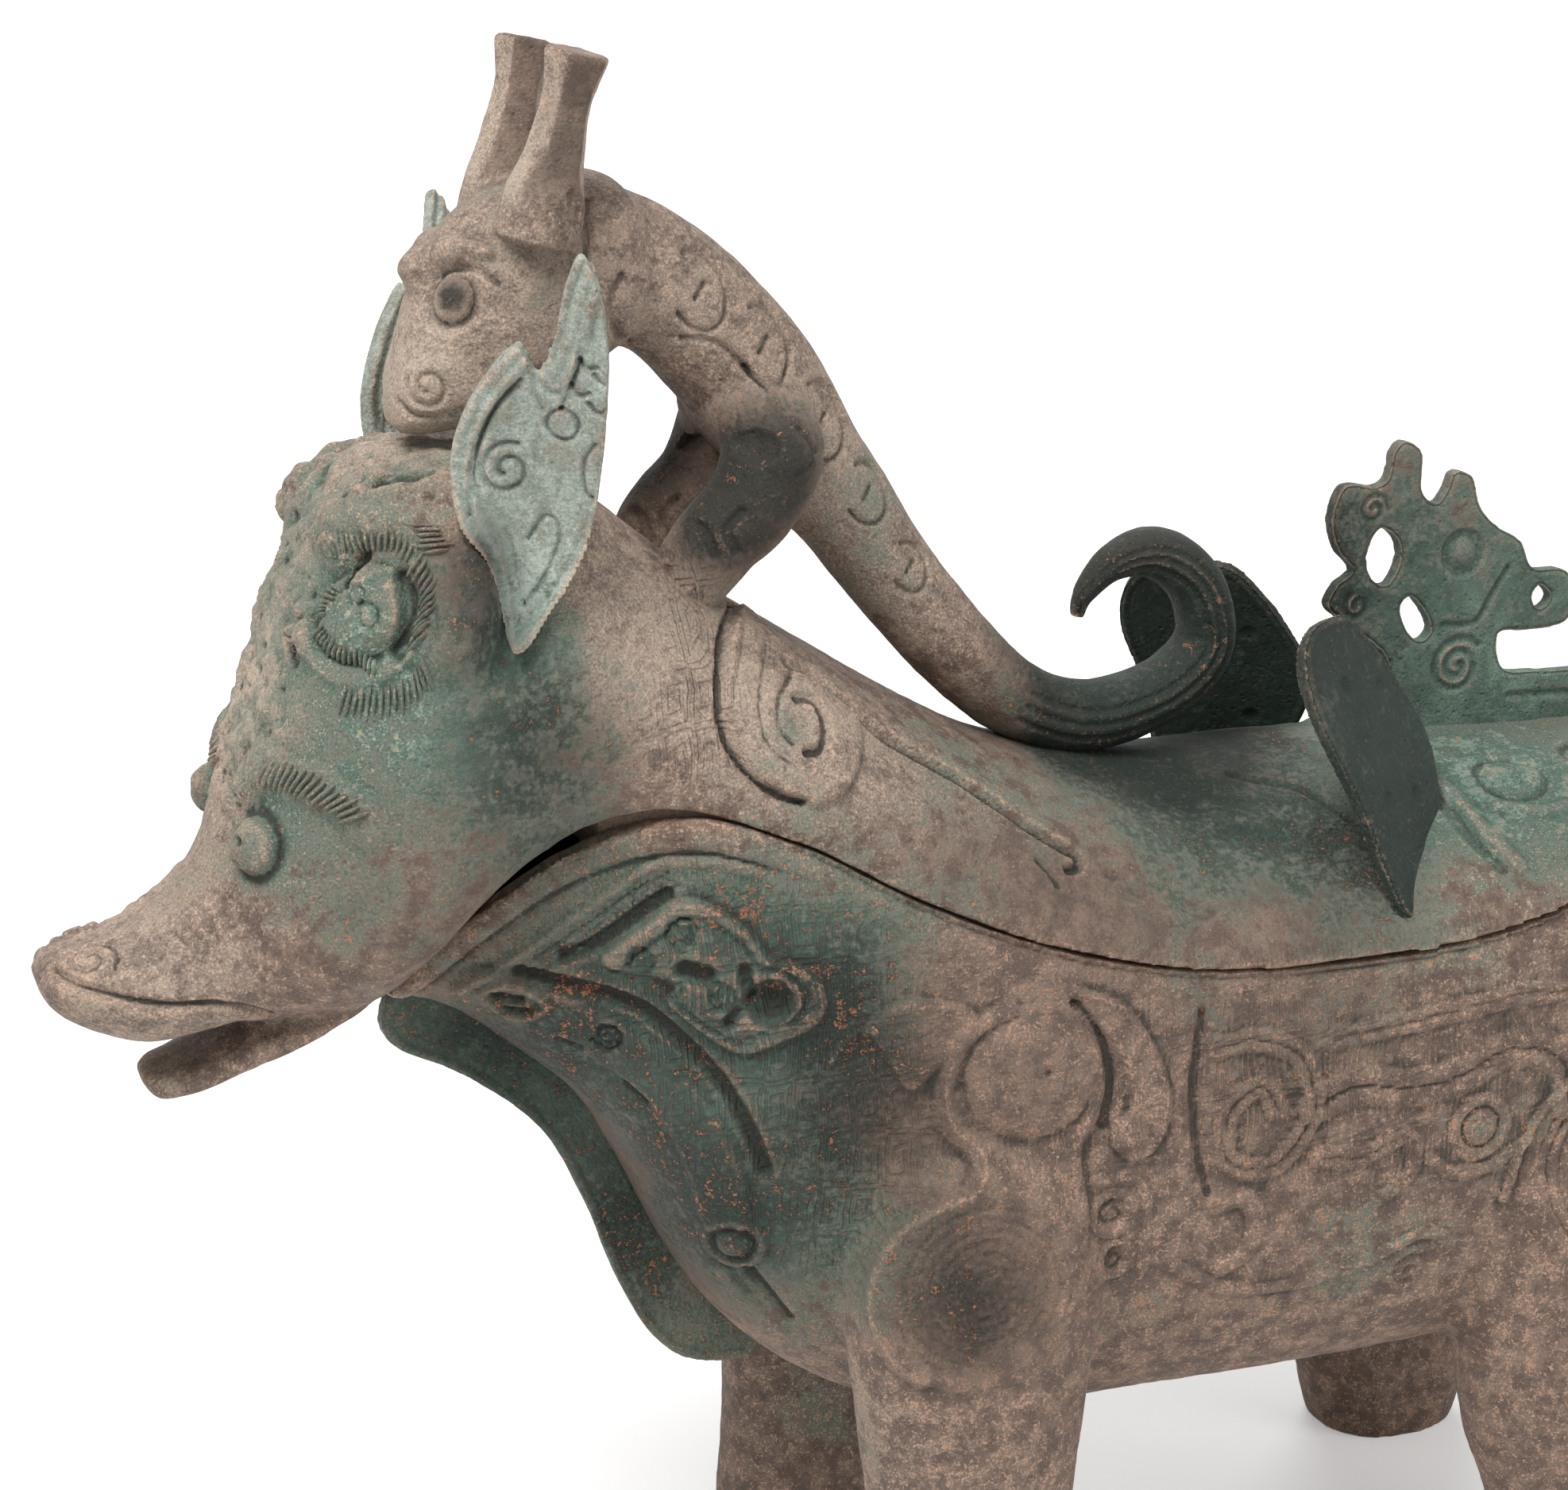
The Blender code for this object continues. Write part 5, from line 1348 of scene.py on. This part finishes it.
def build_lashes(host, material):
    """Hatching round the big eyes and on the brows over the boss eyes, on both sides."""
    tree = lash_tree()
    points, _ = read_mesh(host.data)
    normals = point_normals(host.data)
    near = np.nonzero((points[:, 0] < -125.0) & (normals[:, 0] < 0.6))[0]
    points, normals = points[near], normals[near]
    lookup = nearest(points)
    hatches = [([(-9.0, 12.4), (-5.5, 13.0), (-1.6, 13.8), (2.7, 13.4), (6.4, 11.6)], 112.0, 72.0, 14, 4.6),
               ([(8.8, 17.0), (10.6, 14.4), (11.8, 11.6)], 2.0, 12.0, 6, 6.0),
               ([(8.0, 9.6), (9.8, 6.2), (10.8, 2.4), (10.8, -1.4), (9.6, -5.0)], 62.0, 38.0, 11, 5.6),
               ([(-5.0, -17.6), (0.5, -17.6), (5.0, -16.8), (9.2, -14.8), (12.0, -11.6)],
                -102.0, -72.0, 15, 5.4),
               ([(-12.4, -4.8), (-8.2, -7.8), (-3.6, -9.6), (1.2, -9.8)], -150.0, -72.0, 14, 3.8),
               ([(-12.6, -1.6), (-10.8, 1.4), (-8.2, 3.8)], 195.0, 150.0, 7, 3.4)]
    rows = []
    for places, first, last, count, length in hatches:
        rows.append((*hatch_spots(BIG_EYE, BIG_EYE_OUT, places, first, last), count, 1.2 * length, 0.95, 2.2))
    brow = spline([(-175.5, -9.5, 212.8), (-172.0, -16.0, 217.0), (-167.0, -25.0, 218.2),
                   (-161.5, -31.0, 216.4), (-158.0, -34.2, 213.4)], 10)
    away = brow - np.asarray(BOSS_EYE)
    rows.append((brow, away / np.linalg.norm(away, axis=1)[:, None], 24, 6.8, 1.05, 2.6))
    work = bmesh.new()
    for mirror in BOTH_SIDES:
        for spots, aims, count, length, width, height in rows:
            found = [lookup.find(spot)[1] for spot in spots * mirror]
            row = lash_row(tree, relax_line(points[found]), normals[found], aims * mirror, count, length,
                           width, height, material)
            work.from_mesh(row)
            bpy.data.meshes.remove(row)
    mesh = bpy.data.meshes.new("brow_lashes")
    work.to_mesh(mesh)
    work.free()
    return new_object("brow_lashes", mesh)


# Bronze
def linear(red, green, blue):
    """Colour as it looks on a screen, from 0 to 255, as a node colour."""
    parts = [channel / 255.0 for channel in (red, green, blue)]
    return tuple(p / 12.92 if p <= 0.04045 else ((p + 0.055) / 1.055) ** 2.4 for p in parts) + (1.0,)


# The pale dust colour also lays painted highlight on the horns' front and back faces, and the dark film
# colour also lays painted shade on the horns' sides, in the valley beside the big eye's brow and over the
# dragon's tail
BROWN = linear(128, 108, 95)
DEEP_BROWN = linear(92, 77, 68)
PALE_DUST_AND_HIGHLIGHT = linear(176, 160, 144)
GREY_GREEN = linear(104, 112, 100)
VERDIGRIS = linear(62, 90, 78)
PALE_VERDIGRIS = linear(128, 150, 136)
DARK_FILM_AND_SHADE = linear(15, 23, 18)
GROOVE = linear(42, 40, 35)
RUST = linear(164, 106, 74)
PALE_GREEN = linear(166, 172, 162)
SANDY = linear(192, 156, 132)


def patina_group():
    """Colour and roughness of buried bronze from where it is green, sooty, dusty, hollow or worn, with
    painted shade laid in the soot layer and painted highlight in the dust layer.
    """
    tree, given, made = new_group("patina", [("Vector", "Vector"), ("Green", "Float"), ("Soot and shade", "Float"),
                                             ("Dust and highlight", "Float"), ("Hollow", "Float"), ("Wear", "Float"),
                                             ("Rust", "Float"), ("Pale", "Float")],
                                  [("Colour", "Color"), ("Roughness", "Float")])
    vector = given["Vector"]
    levels = [(45.0, 5.0), (190.0, 6.0), (700.0, 5.0), (2100.0, 3.0)]
    broad, patchy, fine, speck = [maths(tree, "SUBTRACT", noise(tree, vector, *level, 0.65), 0.5)
                                  for level in levels]
    sunk = maths(tree, "SUBTRACT", given["Hollow"], 0.5)

    def cover(field, low, high, most, *shares):
        """Share of the surface that a layer covers where its field and the noises add up to enough."""
        for value, share in shares:
            field = maths(tree, "MULTIPLY_ADD", value, share, field)
        return step_up(tree, field, low, high, most)

    colour = blend(tree, step_up(tree, patchy, -0.13, 0.13), DEEP_BROWN, BROWN)
    groove = maths(tree, "MULTIPLY", sunk, 2.2)
    worn = maths(tree, "MULTIPLY", maths(tree, "MULTIPLY", sunk, given["Wear"]), -2.4)
    dust_and_highlight, green, soot_and_shade, rust, pale = [given[name] for name in ("Dust and highlight", "Green", "Soot and shade", "Rust", "Pale")]
    # The dust layer also lays painted highlight and the soot layer also painted shade, where their fields say
    # so
    layers = [(PALE_DUST_AND_HIGHLIGHT, dust_and_highlight, 0.1, 0.95, 0.9, (fine, 1.1), (patchy, 0.7), (broad, 0.6), (speck, 0.6)),
              (GREY_GREEN, green, 0.14, 0.5, 0.8, (broad, 1.6), (patchy, 1.5), (fine, 1.0)),
              (VERDIGRIS, green, 0.36, 0.9, 0.85, (broad, 0.8), (patchy, 1.5), (fine, 1.4), (sunk, 0.8)),
              (PALE_VERDIGRIS, green, 0.7, 1.2, 0.75, (patchy, 2.2), (fine, 1.6), (speck, 0.7)),
              (SANDY, rust, 0.36, 0.66, 0.6, (patchy, 0.8), (fine, 1.8), (speck, 1.6)),
              (PALE_GREEN, pale, 0.2, 0.9, 0.85, (patchy, 1.6), (fine, 1.2)),
              (DARK_FILM_AND_SHADE, soot_and_shade, 0.25, 1.0, 0.92, (broad, 0.8), (patchy, 0.9), (fine, 1.2), (speck, 0.8)),
              (GROOVE, groove, 0.18, 0.95, 0.85, (fine, 0.8)),
              (RUST, rust, 0.5, 0.75, 0.7, (broad, 0.8), (patchy, 1.2), (fine, 1.6), (speck, 1.2)),
              (SANDY, worn, 0.25, 0.95, 0.4, (fine, 1.4), (speck, 0.8))]
    for paint, *amounts in layers:
        colour = blend(tree, cover(*amounts), colour, paint)
    grain = maths(tree, "MULTIPLY_ADD", step_up(tree, speck, -0.2, 0.2), 0.46, 0.77)
    shade = put(tree, "ShaderNodeMix", {0: 1.0, 6: colour, 7: grain}, data_type="RGBA", blend_type="MULTIPLY")
    rough = maths(tree, "MULTIPLY_ADD", patchy, 0.4, 0.74)
    tree.links.new(shade.outputs[2], made["Colour"])
    tree.links.new(rough, made["Roughness"])
    return tree


def grain_group():
    """Height of a corroded casting: grit, soft lumps and scattered pits."""
    tree, given, made = new_group("casting_grain", [("Vector", "Vector"), ("Grit", "Float"),
                                                    ("Pits", "Float")], [("Height", "Float")])
    vector = given["Vector"]
    grit = maths(tree, "MULTIPLY", noise(tree, vector, 1500.0, 3.0, 0.65), given["Grit"])
    lumps = noise(tree, vector, 420.0, 4.0, 0.6)
    cells = put(tree, "ShaderNodeTexVoronoi", {"Vector": vector, "Scale": 430.0, "Randomness": 1.0})
    pit = maths(tree, "MULTIPLY", step_up(tree, cells.outputs["Distance"], 0.0, 0.28), given["Pits"])
    height = maths(tree, "ADD", maths(tree, "MULTIPLY_ADD", lumps, 1.2, grit), pit)
    tree.links.new(height, made["Height"])
    return tree


def thunder_group():
    """Height of fine square spirals laid side by side on the flanks."""
    tree, given, made = new_group("thunder_lines", [("Vector", "Vector"), ("Cell", "Float"),
                                                    ("Turns", "Float")], [("Height", "Float")])
    warp = put(tree, "ShaderNodeTexNoise", {"Vector": given["Vector"], "Scale": 60.0, "Detail": 2.0})
    shift = put(tree, "ShaderNodeVectorMath", [warp.outputs["Color"], (0.006, 0.006, 0.006)],
                operation="MULTIPLY")
    moved = put(tree, "ShaderNodeVectorMath", [given["Vector"], shift.outputs[0]], operation="ADD")
    parts = put(tree, "ShaderNodeSeparateXYZ", [moved.outputs[0]])
    places = []
    for axis, stretch in (("X", 1.0), ("Z", 0.5)):
        share = maths(tree, "DIVIDE", maths(tree, "MULTIPLY", parts.outputs[axis], stretch), given["Cell"])
        places.append(maths(tree, "SUBTRACT", maths(tree, "FRACT", share), 0.5))
    across, up = places
    ring = maths(tree, "MAXIMUM", maths(tree, "ABSOLUTE", across), maths(tree, "ABSOLUTE", up))
    angle = maths(tree, "DIVIDE", maths(tree, "ARCTAN2", up, across), 2.0 * math.pi)
    wound = maths(tree, "MULTIPLY_ADD", ring, given["Turns"], angle)
    wave = maths(tree, "PINGPONG", wound, 0.5)
    tree.links.new(step_up(tree, wave, 0.12, 0.32), made["Height"])
    return tree


PATINA = patina_group()
GRAIN = grain_group()
THUNDER = thunder_group()


def bronze(name, wear, rust, grit, pits, pale=0.0):
    """Weathered bronze that reads the piece's own painted fields."""
    material = bpy.data.materials.new(name)
    material.use_nodes = True
    tree = material.node_tree
    shader = tree.nodes["Principled BSDF"]
    vector = put(tree, "ShaderNodeTexCoord").outputs["Object"]
    fields = {}
    for field in ("green", "soot_and_shade", "dust_and_highlight", "hollow", "figured"):
        fields[field] = put(tree, "ShaderNodeAttribute", attribute_name=field).outputs["Fac"]
    lines = put(tree, "ShaderNodeGroup", {"Vector": vector, "Cell": LINE_CELL, "Turns": 4.5},
                node_tree=THUNDER)
    grain = put(tree, "ShaderNodeGroup", {"Vector": vector, "Grit": grit, "Pits": pits}, node_tree=GRAIN)
    pattern = maths(tree, "MULTIPLY", lines.outputs["Height"], fields["figured"])
    hollow = maths(tree, "MULTIPLY_ADD", fields["figured"], 0.1,
                   maths(tree, "MULTIPLY_ADD", pattern, -0.16, fields["hollow"]))
    skin = put(tree, "ShaderNodeGroup", {"Vector": vector, "Green": fields["green"], "Soot and shade": fields["soot_and_shade"],
                                         "Dust and highlight": fields["dust_and_highlight"], "Hollow": hollow, "Wear": wear, "Rust": rust,
                                         "Pale": pale},
               node_tree=PATINA)
    height = maths(tree, "MULTIPLY_ADD", pattern, 0.6, maths(tree, "MULTIPLY", grain.outputs["Height"], 0.6))
    bump = put(tree, "ShaderNodeBump", {"Strength": 1.0, "Distance": 0.0007, "Height": height})
    tree.links.new(skin.outputs["Colour"], shader.inputs["Base Color"])
    tree.links.new(skin.outputs["Roughness"], shader.inputs["Roughness"])
    tree.links.new(bump.outputs["Normal"], shader.inputs["Normal"])
    shader.inputs["Metallic"].default_value = 0.0
    shader.inputs["Specular IOR Level"].default_value = 0.35
    return material


# Patina spots, painted shade spots and lined ground on the left side: x, y, z, reach and amount
GREEN_SPOTS = [(-100, -38, 176, 30, 0.75), (-86, -41, 150, 24, 0.6), (-80, -34, 112, 24, 0.6),
               (-72, -46, 178, 18, 0.45), (-152, -30, 250, 20, 0.55), (-170, -8, 232, 28, 0.35),
               (-150, -5, 272, 24, 0.4), (-128, -40, 222, 22, 0.5), (-173, -22, 207, 14, 0.45),
               (20, -38, 190, 30, 0.5), (70, -25, 194, 40, 0.6), (110, -25, 190, 40, 0.6),
               (12, 0, 208, 26, 0.6), (32, 0, 232, 22, 0.6), (-110, 0, 150, 40, 0.4),
               (-55, -48, 186, 14, 0.3), (-72, -40, 223, 6, 0.4), (-37, -25, 40, 26, 0.45),
               (-22, -50, 149, 8, 0.4), (60, -62, 100, 22, 0.25), (-62, -45, 120, 22, 0.3),
               (-160, -32, 200, 18, 0.2), (-118, 0, 325, 18, 0.2), (-122, -38, 246, 12, 0.5),
               (-150, -36, 226, 18, 0.4), (-104, -46, 280, 30, 0.15), (-45, -6, 256, 24, 0.25),
               (-40, -30, 205, 24, 0.25)]
# The soot list also holds painted shade: (-134, -36, 262) and (-136, -38, 252) lie in the valley beside the
# big eye's brow
SOOT_AND_SHADE_SPOTS = [(-72, -24, 272, 16, 1.1), (-82, -22, 262, 12, 0.9), (-134, -36, 262, 8, 0.5),
              (-41, -64, 106, 20, 0.8), (-136, -38, 252, 12, 0.6), (-107, -17, 312, 14, 0.4),
              # (14, 0, 204), (34, 0, 226) and (20, 0, 246) below: painted shade over the dragon's tail, on
              # top of its dark patina
              (-124, -42, 226, 22, 0.65), (-140, -36, 206, 26, 0.2), (14, 0, 204, 24, 1.1),
              (-131, -12, 307, 4, 1.1), (34, 0, 226, 34, 1.6), (20, 0, 246, 24, 1.2),
              (-100, -40, 170, 34, 0.75), (-84, -36, 118, 28, 0.6), (-58, -52, 146, 20, 0.65),
              (-66, -48, 175, 18, 0.5), (28, -34, 190, 24, 0.3), (56, -44, 190, 16, 0.4),
              (40, -58, 176, 26, 0.3), (-25, -50, 186, 20, 0.2), (-27, -60, 150, 14, 0.25),
              (95, -30, 190, 34, 0.25), (-160, -28, 196, 16, 0.25), (-95, 0, 110, 40, 0.5),
              (-125, -10, 155, 22, 0.6), (-8, -52, 184, 22, 0.35), (-45, -44, 196, 14, 0.3),
              (20, -60, 138, 40, 0.3)]
DUST_SPOTS = [(-203, -10, 180, 28, 0.45), (-172, 0, 230, 34, 0.9), (-145, 0, 274, 28, 0.55),
              (-104, -32, 240, 28, 0.6), (-74, -38, 224, 20, 0.45), (-48, -36, 212, 24, 0.4),
              (-112, -46, 285, 32, 0.4), (-122, -10, 318, 24, 0.4), (-136, -8, 292, 16, 0.4),
              (-82, -6, 306, 24, 0.4), (-52, -6, 272, 26, 0.55), (-30, -6, 240, 22, 0.4),
              (-37, -60, 40, 40, 0.25), (-60, -50, 82, 18, 0.3), (-180, -15, 165, 20, 0.2)]
FIGURED_SPOTS = [(-95, -40, 172, 34, 0.7), (-70, -48, 150, 30, 0.5), (-60, -50, 120, 20, 0.4),
                 (10, -58, 150, 30, 0.4), (45, -60, 130, 40, 0.4), (85, -58, 135, 40, 0.4),
                 (-90, -24, 249, 7, 1.2), (-89, -31, 241, 7, 1.2), (-90, -37, 232, 8, 1.2),
                 (-93, -40, 224, 7, 1.1), (-20, -57, 135, 14, 0.3)]


def spots_field(points, spots):
    """Sum of soft spots, the same on both sides."""
    folded = np.column_stack([points[:, 0], -np.abs(points[:, 1]), points[:, 2]])
    total = np.zeros(len(points))
    for x, y, z, reach, amount in spots:
        gap = np.sum((folded - np.array([x, y, z])) ** 2, axis=1)
        total += amount * np.exp(-gap / reach ** 2)
    return total


def paint_fields(mesh, base, calm):
    """Painted fields that the bronze reads, painted shade and painted highlight among them; base is the
    piece's own share of green, soot and dust.
    """
    points, edges = read_mesh(mesh)
    normals = point_normals(mesh)
    eased = relax(points, edges, np.full(len(points), 0.6), 10)
    curve = np.sum((eased - points) * normals, axis=1)
    fields = {"hollow": 0.5 + 0.8 * calm * curve,
              "figured": spots_field(points, FIGURED_SPOTS) * smooth((0.8 - normals[:, 2]) / 0.3)}
    for name, spots, share in zip(("green", "soot_and_shade", "dust_and_highlight"), (GREEN_SPOTS, SOOT_AND_SHADE_SPOTS, DUST_SPOTS), base):
        fields[name] = spots_field(points, spots) + share
    # Painted shade on the horns' sides and painted highlight on their front and back faces, so that the two
    # horns part from each other
    horn = smooth((points[:, 2] - HORN_FOOT_Z) / 8.0)
    fields["soot_and_shade"] += 0.45 * horn * smooth((np.abs(normals[:, 1]) - 0.45) / 0.3)
    fields["dust_and_highlight"] += 0.5 * horn * smooth((np.abs(normals[:, 0]) - 0.6) / 0.25)
    for name, values in fields.items():
        field = mesh.attributes.new(name, "FLOAT", "POINT")
        field.data.foreach_set("value", np.clip(values, 0.0, 1.0))


def finish(thing, material, body, nodes, base=(0.0, 0.0, 0.0), calm=1.0):
    """Keep a piece inside the CAD box, paint it, tie it to its body, and hide the CAD nodes that it stands in
    for.
    """
    mesh = thing.data
    mesh.name = thing.name
    points, _ = read_mesh(mesh)
    write_points(mesh, np.clip(points, np.array(cad_box[0]) / MM, np.array(cad_box[1]) / MM))
    paint_fields(mesh, base, calm)
    mesh.materials.clear()
    mesh.materials.append(material)
    mesh.shade_smooth()
    mesh.set_sharp_from_angle(angle=math.radians(SHARP_ANGLE))
    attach(thing, body)
    if nodes:
        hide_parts(*nodes)


BODY_BRONZE = bronze("brown_vessel_bronze", wear=0.5, rust=0.28, grit=0.8, pits=0.5)
LID_BRONZE = bronze("weathered_lid_bronze", wear=0.6, rust=0.2, grit=0.9, pits=0.6)
GREEN_BRONZE = bronze("green_plate_bronze", wear=1.0, rust=0.1, grit=0.9, pits=0.8)
EAR_BRONZE = bronze("pale_ear_bronze", wear=1.0, rust=0.1, grit=0.9, pits=0.6, pale=0.6)

lashes = build_lashes(lid, LID_BRONZE)
legs = ["front_leg_left", "front_leg_right", "hind_leg_left", "hind_leg_right"]
finish(vessel, BODY_BRONZE, "vessel", ["vessel_body"] + legs)
finish(keel, BODY_BRONZE, "vessel", ["chest_flange"], (0.55, 0.2, 0.0))
finish(handle, BODY_BRONZE, "vessel", ["handle"], (0.2, 0.1, 0.0))
finish(lid, LID_BRONZE, "lid", ["lid_shell"])
finish(tongue, LID_BRONZE, "lid", [], (0.2, 0.4, 0.0))
finish(lashes, LID_BRONZE, "lid", [], calm=0.3)
finish(dragon, LID_BRONZE, "lid",
       ["dragon_body", "dragon_head", "dragon_horn_left", "dragon_horn_right", "dragon_foreleg_left",
        "dragon_foreleg_right"])
finish(crest, GREEN_BRONZE, "lid", ["rear_crest"], (0.5, 0.4, 0.0))
for node, thing in ears.items():
    rear = node.startswith("rear")
    finish(thing, GREEN_BRONZE if rear else EAR_BRONZE, "lid", [node],
           (0.4, 0.6, 0.1) if rear else (0.5, 0.0, 0.5))


# Stage
def seen_rays(tree):
    """One for rays from the camera and for reflections, nought for the rest."""
    path = put(tree, "ShaderNodeLightPath").outputs
    return maths(tree, "MAXIMUM", path["Is Camera Ray"], path["Is Glossy Ray"])


def build_floor():
    """Pale sweep: a flat floor that curves up behind."""
    span, back, rise = 6.0, 3.0, 1.2
    profile = [(-4.0, 0.0), (back, 0.0)]
    for angle in np.linspace(0.1, 0.5 * math.pi, 14):
        profile.append((back + rise * math.sin(angle), rise - rise * math.cos(angle)))
    profile.append((back + rise, 5.0))
    points, faces = [], []
    for y, z in profile:
        points += [(-span, y, z), (span, y, z)]
    for row in range(len(profile) - 1):
        faces.append((2 * row, 2 * row + 1, 2 * row + 3, 2 * row + 2))
    mesh = bpy.data.meshes.new("floor_sweep")
    mesh.from_pydata(points, [], faces)
    mesh.shade_smooth()
    floor = new_object("floor_sweep", mesh)
    material = bpy.data.materials.new("white_sweep")
    material.use_nodes = True
    tree = material.node_tree
    shader = tree.nodes["Principled BSDF"]
    shader.inputs["Roughness"].default_value = 0.9
    shader.inputs["Specular IOR Level"].default_value = 0.1
    vector = put(tree, "ShaderNodeTexCoord").outputs["Object"]
    tone = blend(tree, noise(tree, vector, 3.0, 2.0), (0.9, 0.9, 0.9, 1.0), (0.93, 0.93, 0.925, 1.0))
    tree.links.new(tone, shader.inputs["Base Color"])
    seen = seen_rays(tree)
    depth = put(tree, "ShaderNodeSeparateXYZ", [vector]).outputs["Y"]
    glow = put(tree, "ShaderNodeMapRange", [depth, 0.3, 1.6, 0.3, 1.0]).outputs[0]
    shader.inputs["Emission Color"].default_value = (1.0, 1.0, 1.0, 1.0)
    tree.links.new(maths(tree, "MULTIPLY", seen, glow), shader.inputs["Emission Strength"])
    mesh.materials.append(material)


def area_light(name, place, target, size, power):
    data = bpy.data.lights.new(name, "AREA")
    data.shape = "DISK"
    data.size = size
    data.energy = power
    lamp = new_object(name, data)
    lamp.location = place
    lamp.rotation_euler = (Vector(target) - Vector(place)).to_track_quat("-Z", "Y").to_euler()


def build_light():
    world = bpy.data.worlds.new("studio")
    bpy.context.scene.world = world
    world.use_nodes = True
    tree = world.node_tree
    tree.nodes.clear()
    seen = seen_rays(tree)
    strength = put(tree, "ShaderNodeMapRange", [seen, 0.0, 1.0, 0.36, 1.0]).outputs[0]
    light = put(tree, "ShaderNodeBackground", {"Color": (1.0, 1.0, 1.0, 1.0), "Strength": strength})
    out = put(tree, "ShaderNodeOutputWorld")
    tree.links.new(light.outputs["Background"], out.inputs["Surface"])
    middle = (-0.03, 0.0, 0.2)
    area_light("key", (-0.75, -0.55, 1.5), middle, 0.9, 28.0)
    area_light("fill", (1.1, -1.2, 0.8), middle, 1.2, 8.0)
    area_light("rim", (0.4, 1.2, 1.4), middle, 1.0, 10.0)


def build_camera():
    azimuth, elevation = math.radians(CAMERA_AZIMUTH), math.radians(CAMERA_ELEVATION)
    back = Vector((math.sin(azimuth) * math.cos(elevation), -math.cos(azimuth) * math.cos(elevation),
                   math.sin(elevation)))
    right = Vector((math.cos(azimuth), math.sin(azimuth), 0.0))
    up = back.cross(right)
    data = bpy.data.cameras.new("camera")
    data.sensor_fit = "HORIZONTAL"
    data.sensor_width = 36.0
    data.lens = CAMERA_LENS
    data.clip_start = 0.02
    camera = new_object("camera", data)
    camera.matrix_world = Matrix((right, up, back)).transposed().to_4x4()
    camera.location = Vector(CAMERA_TARGET) + CAMERA_DISTANCE * back
    bpy.context.scene.camera = camera


build_floor()
build_light()
build_camera()
bpy.context.scene.view_settings.view_transform = "Standard"
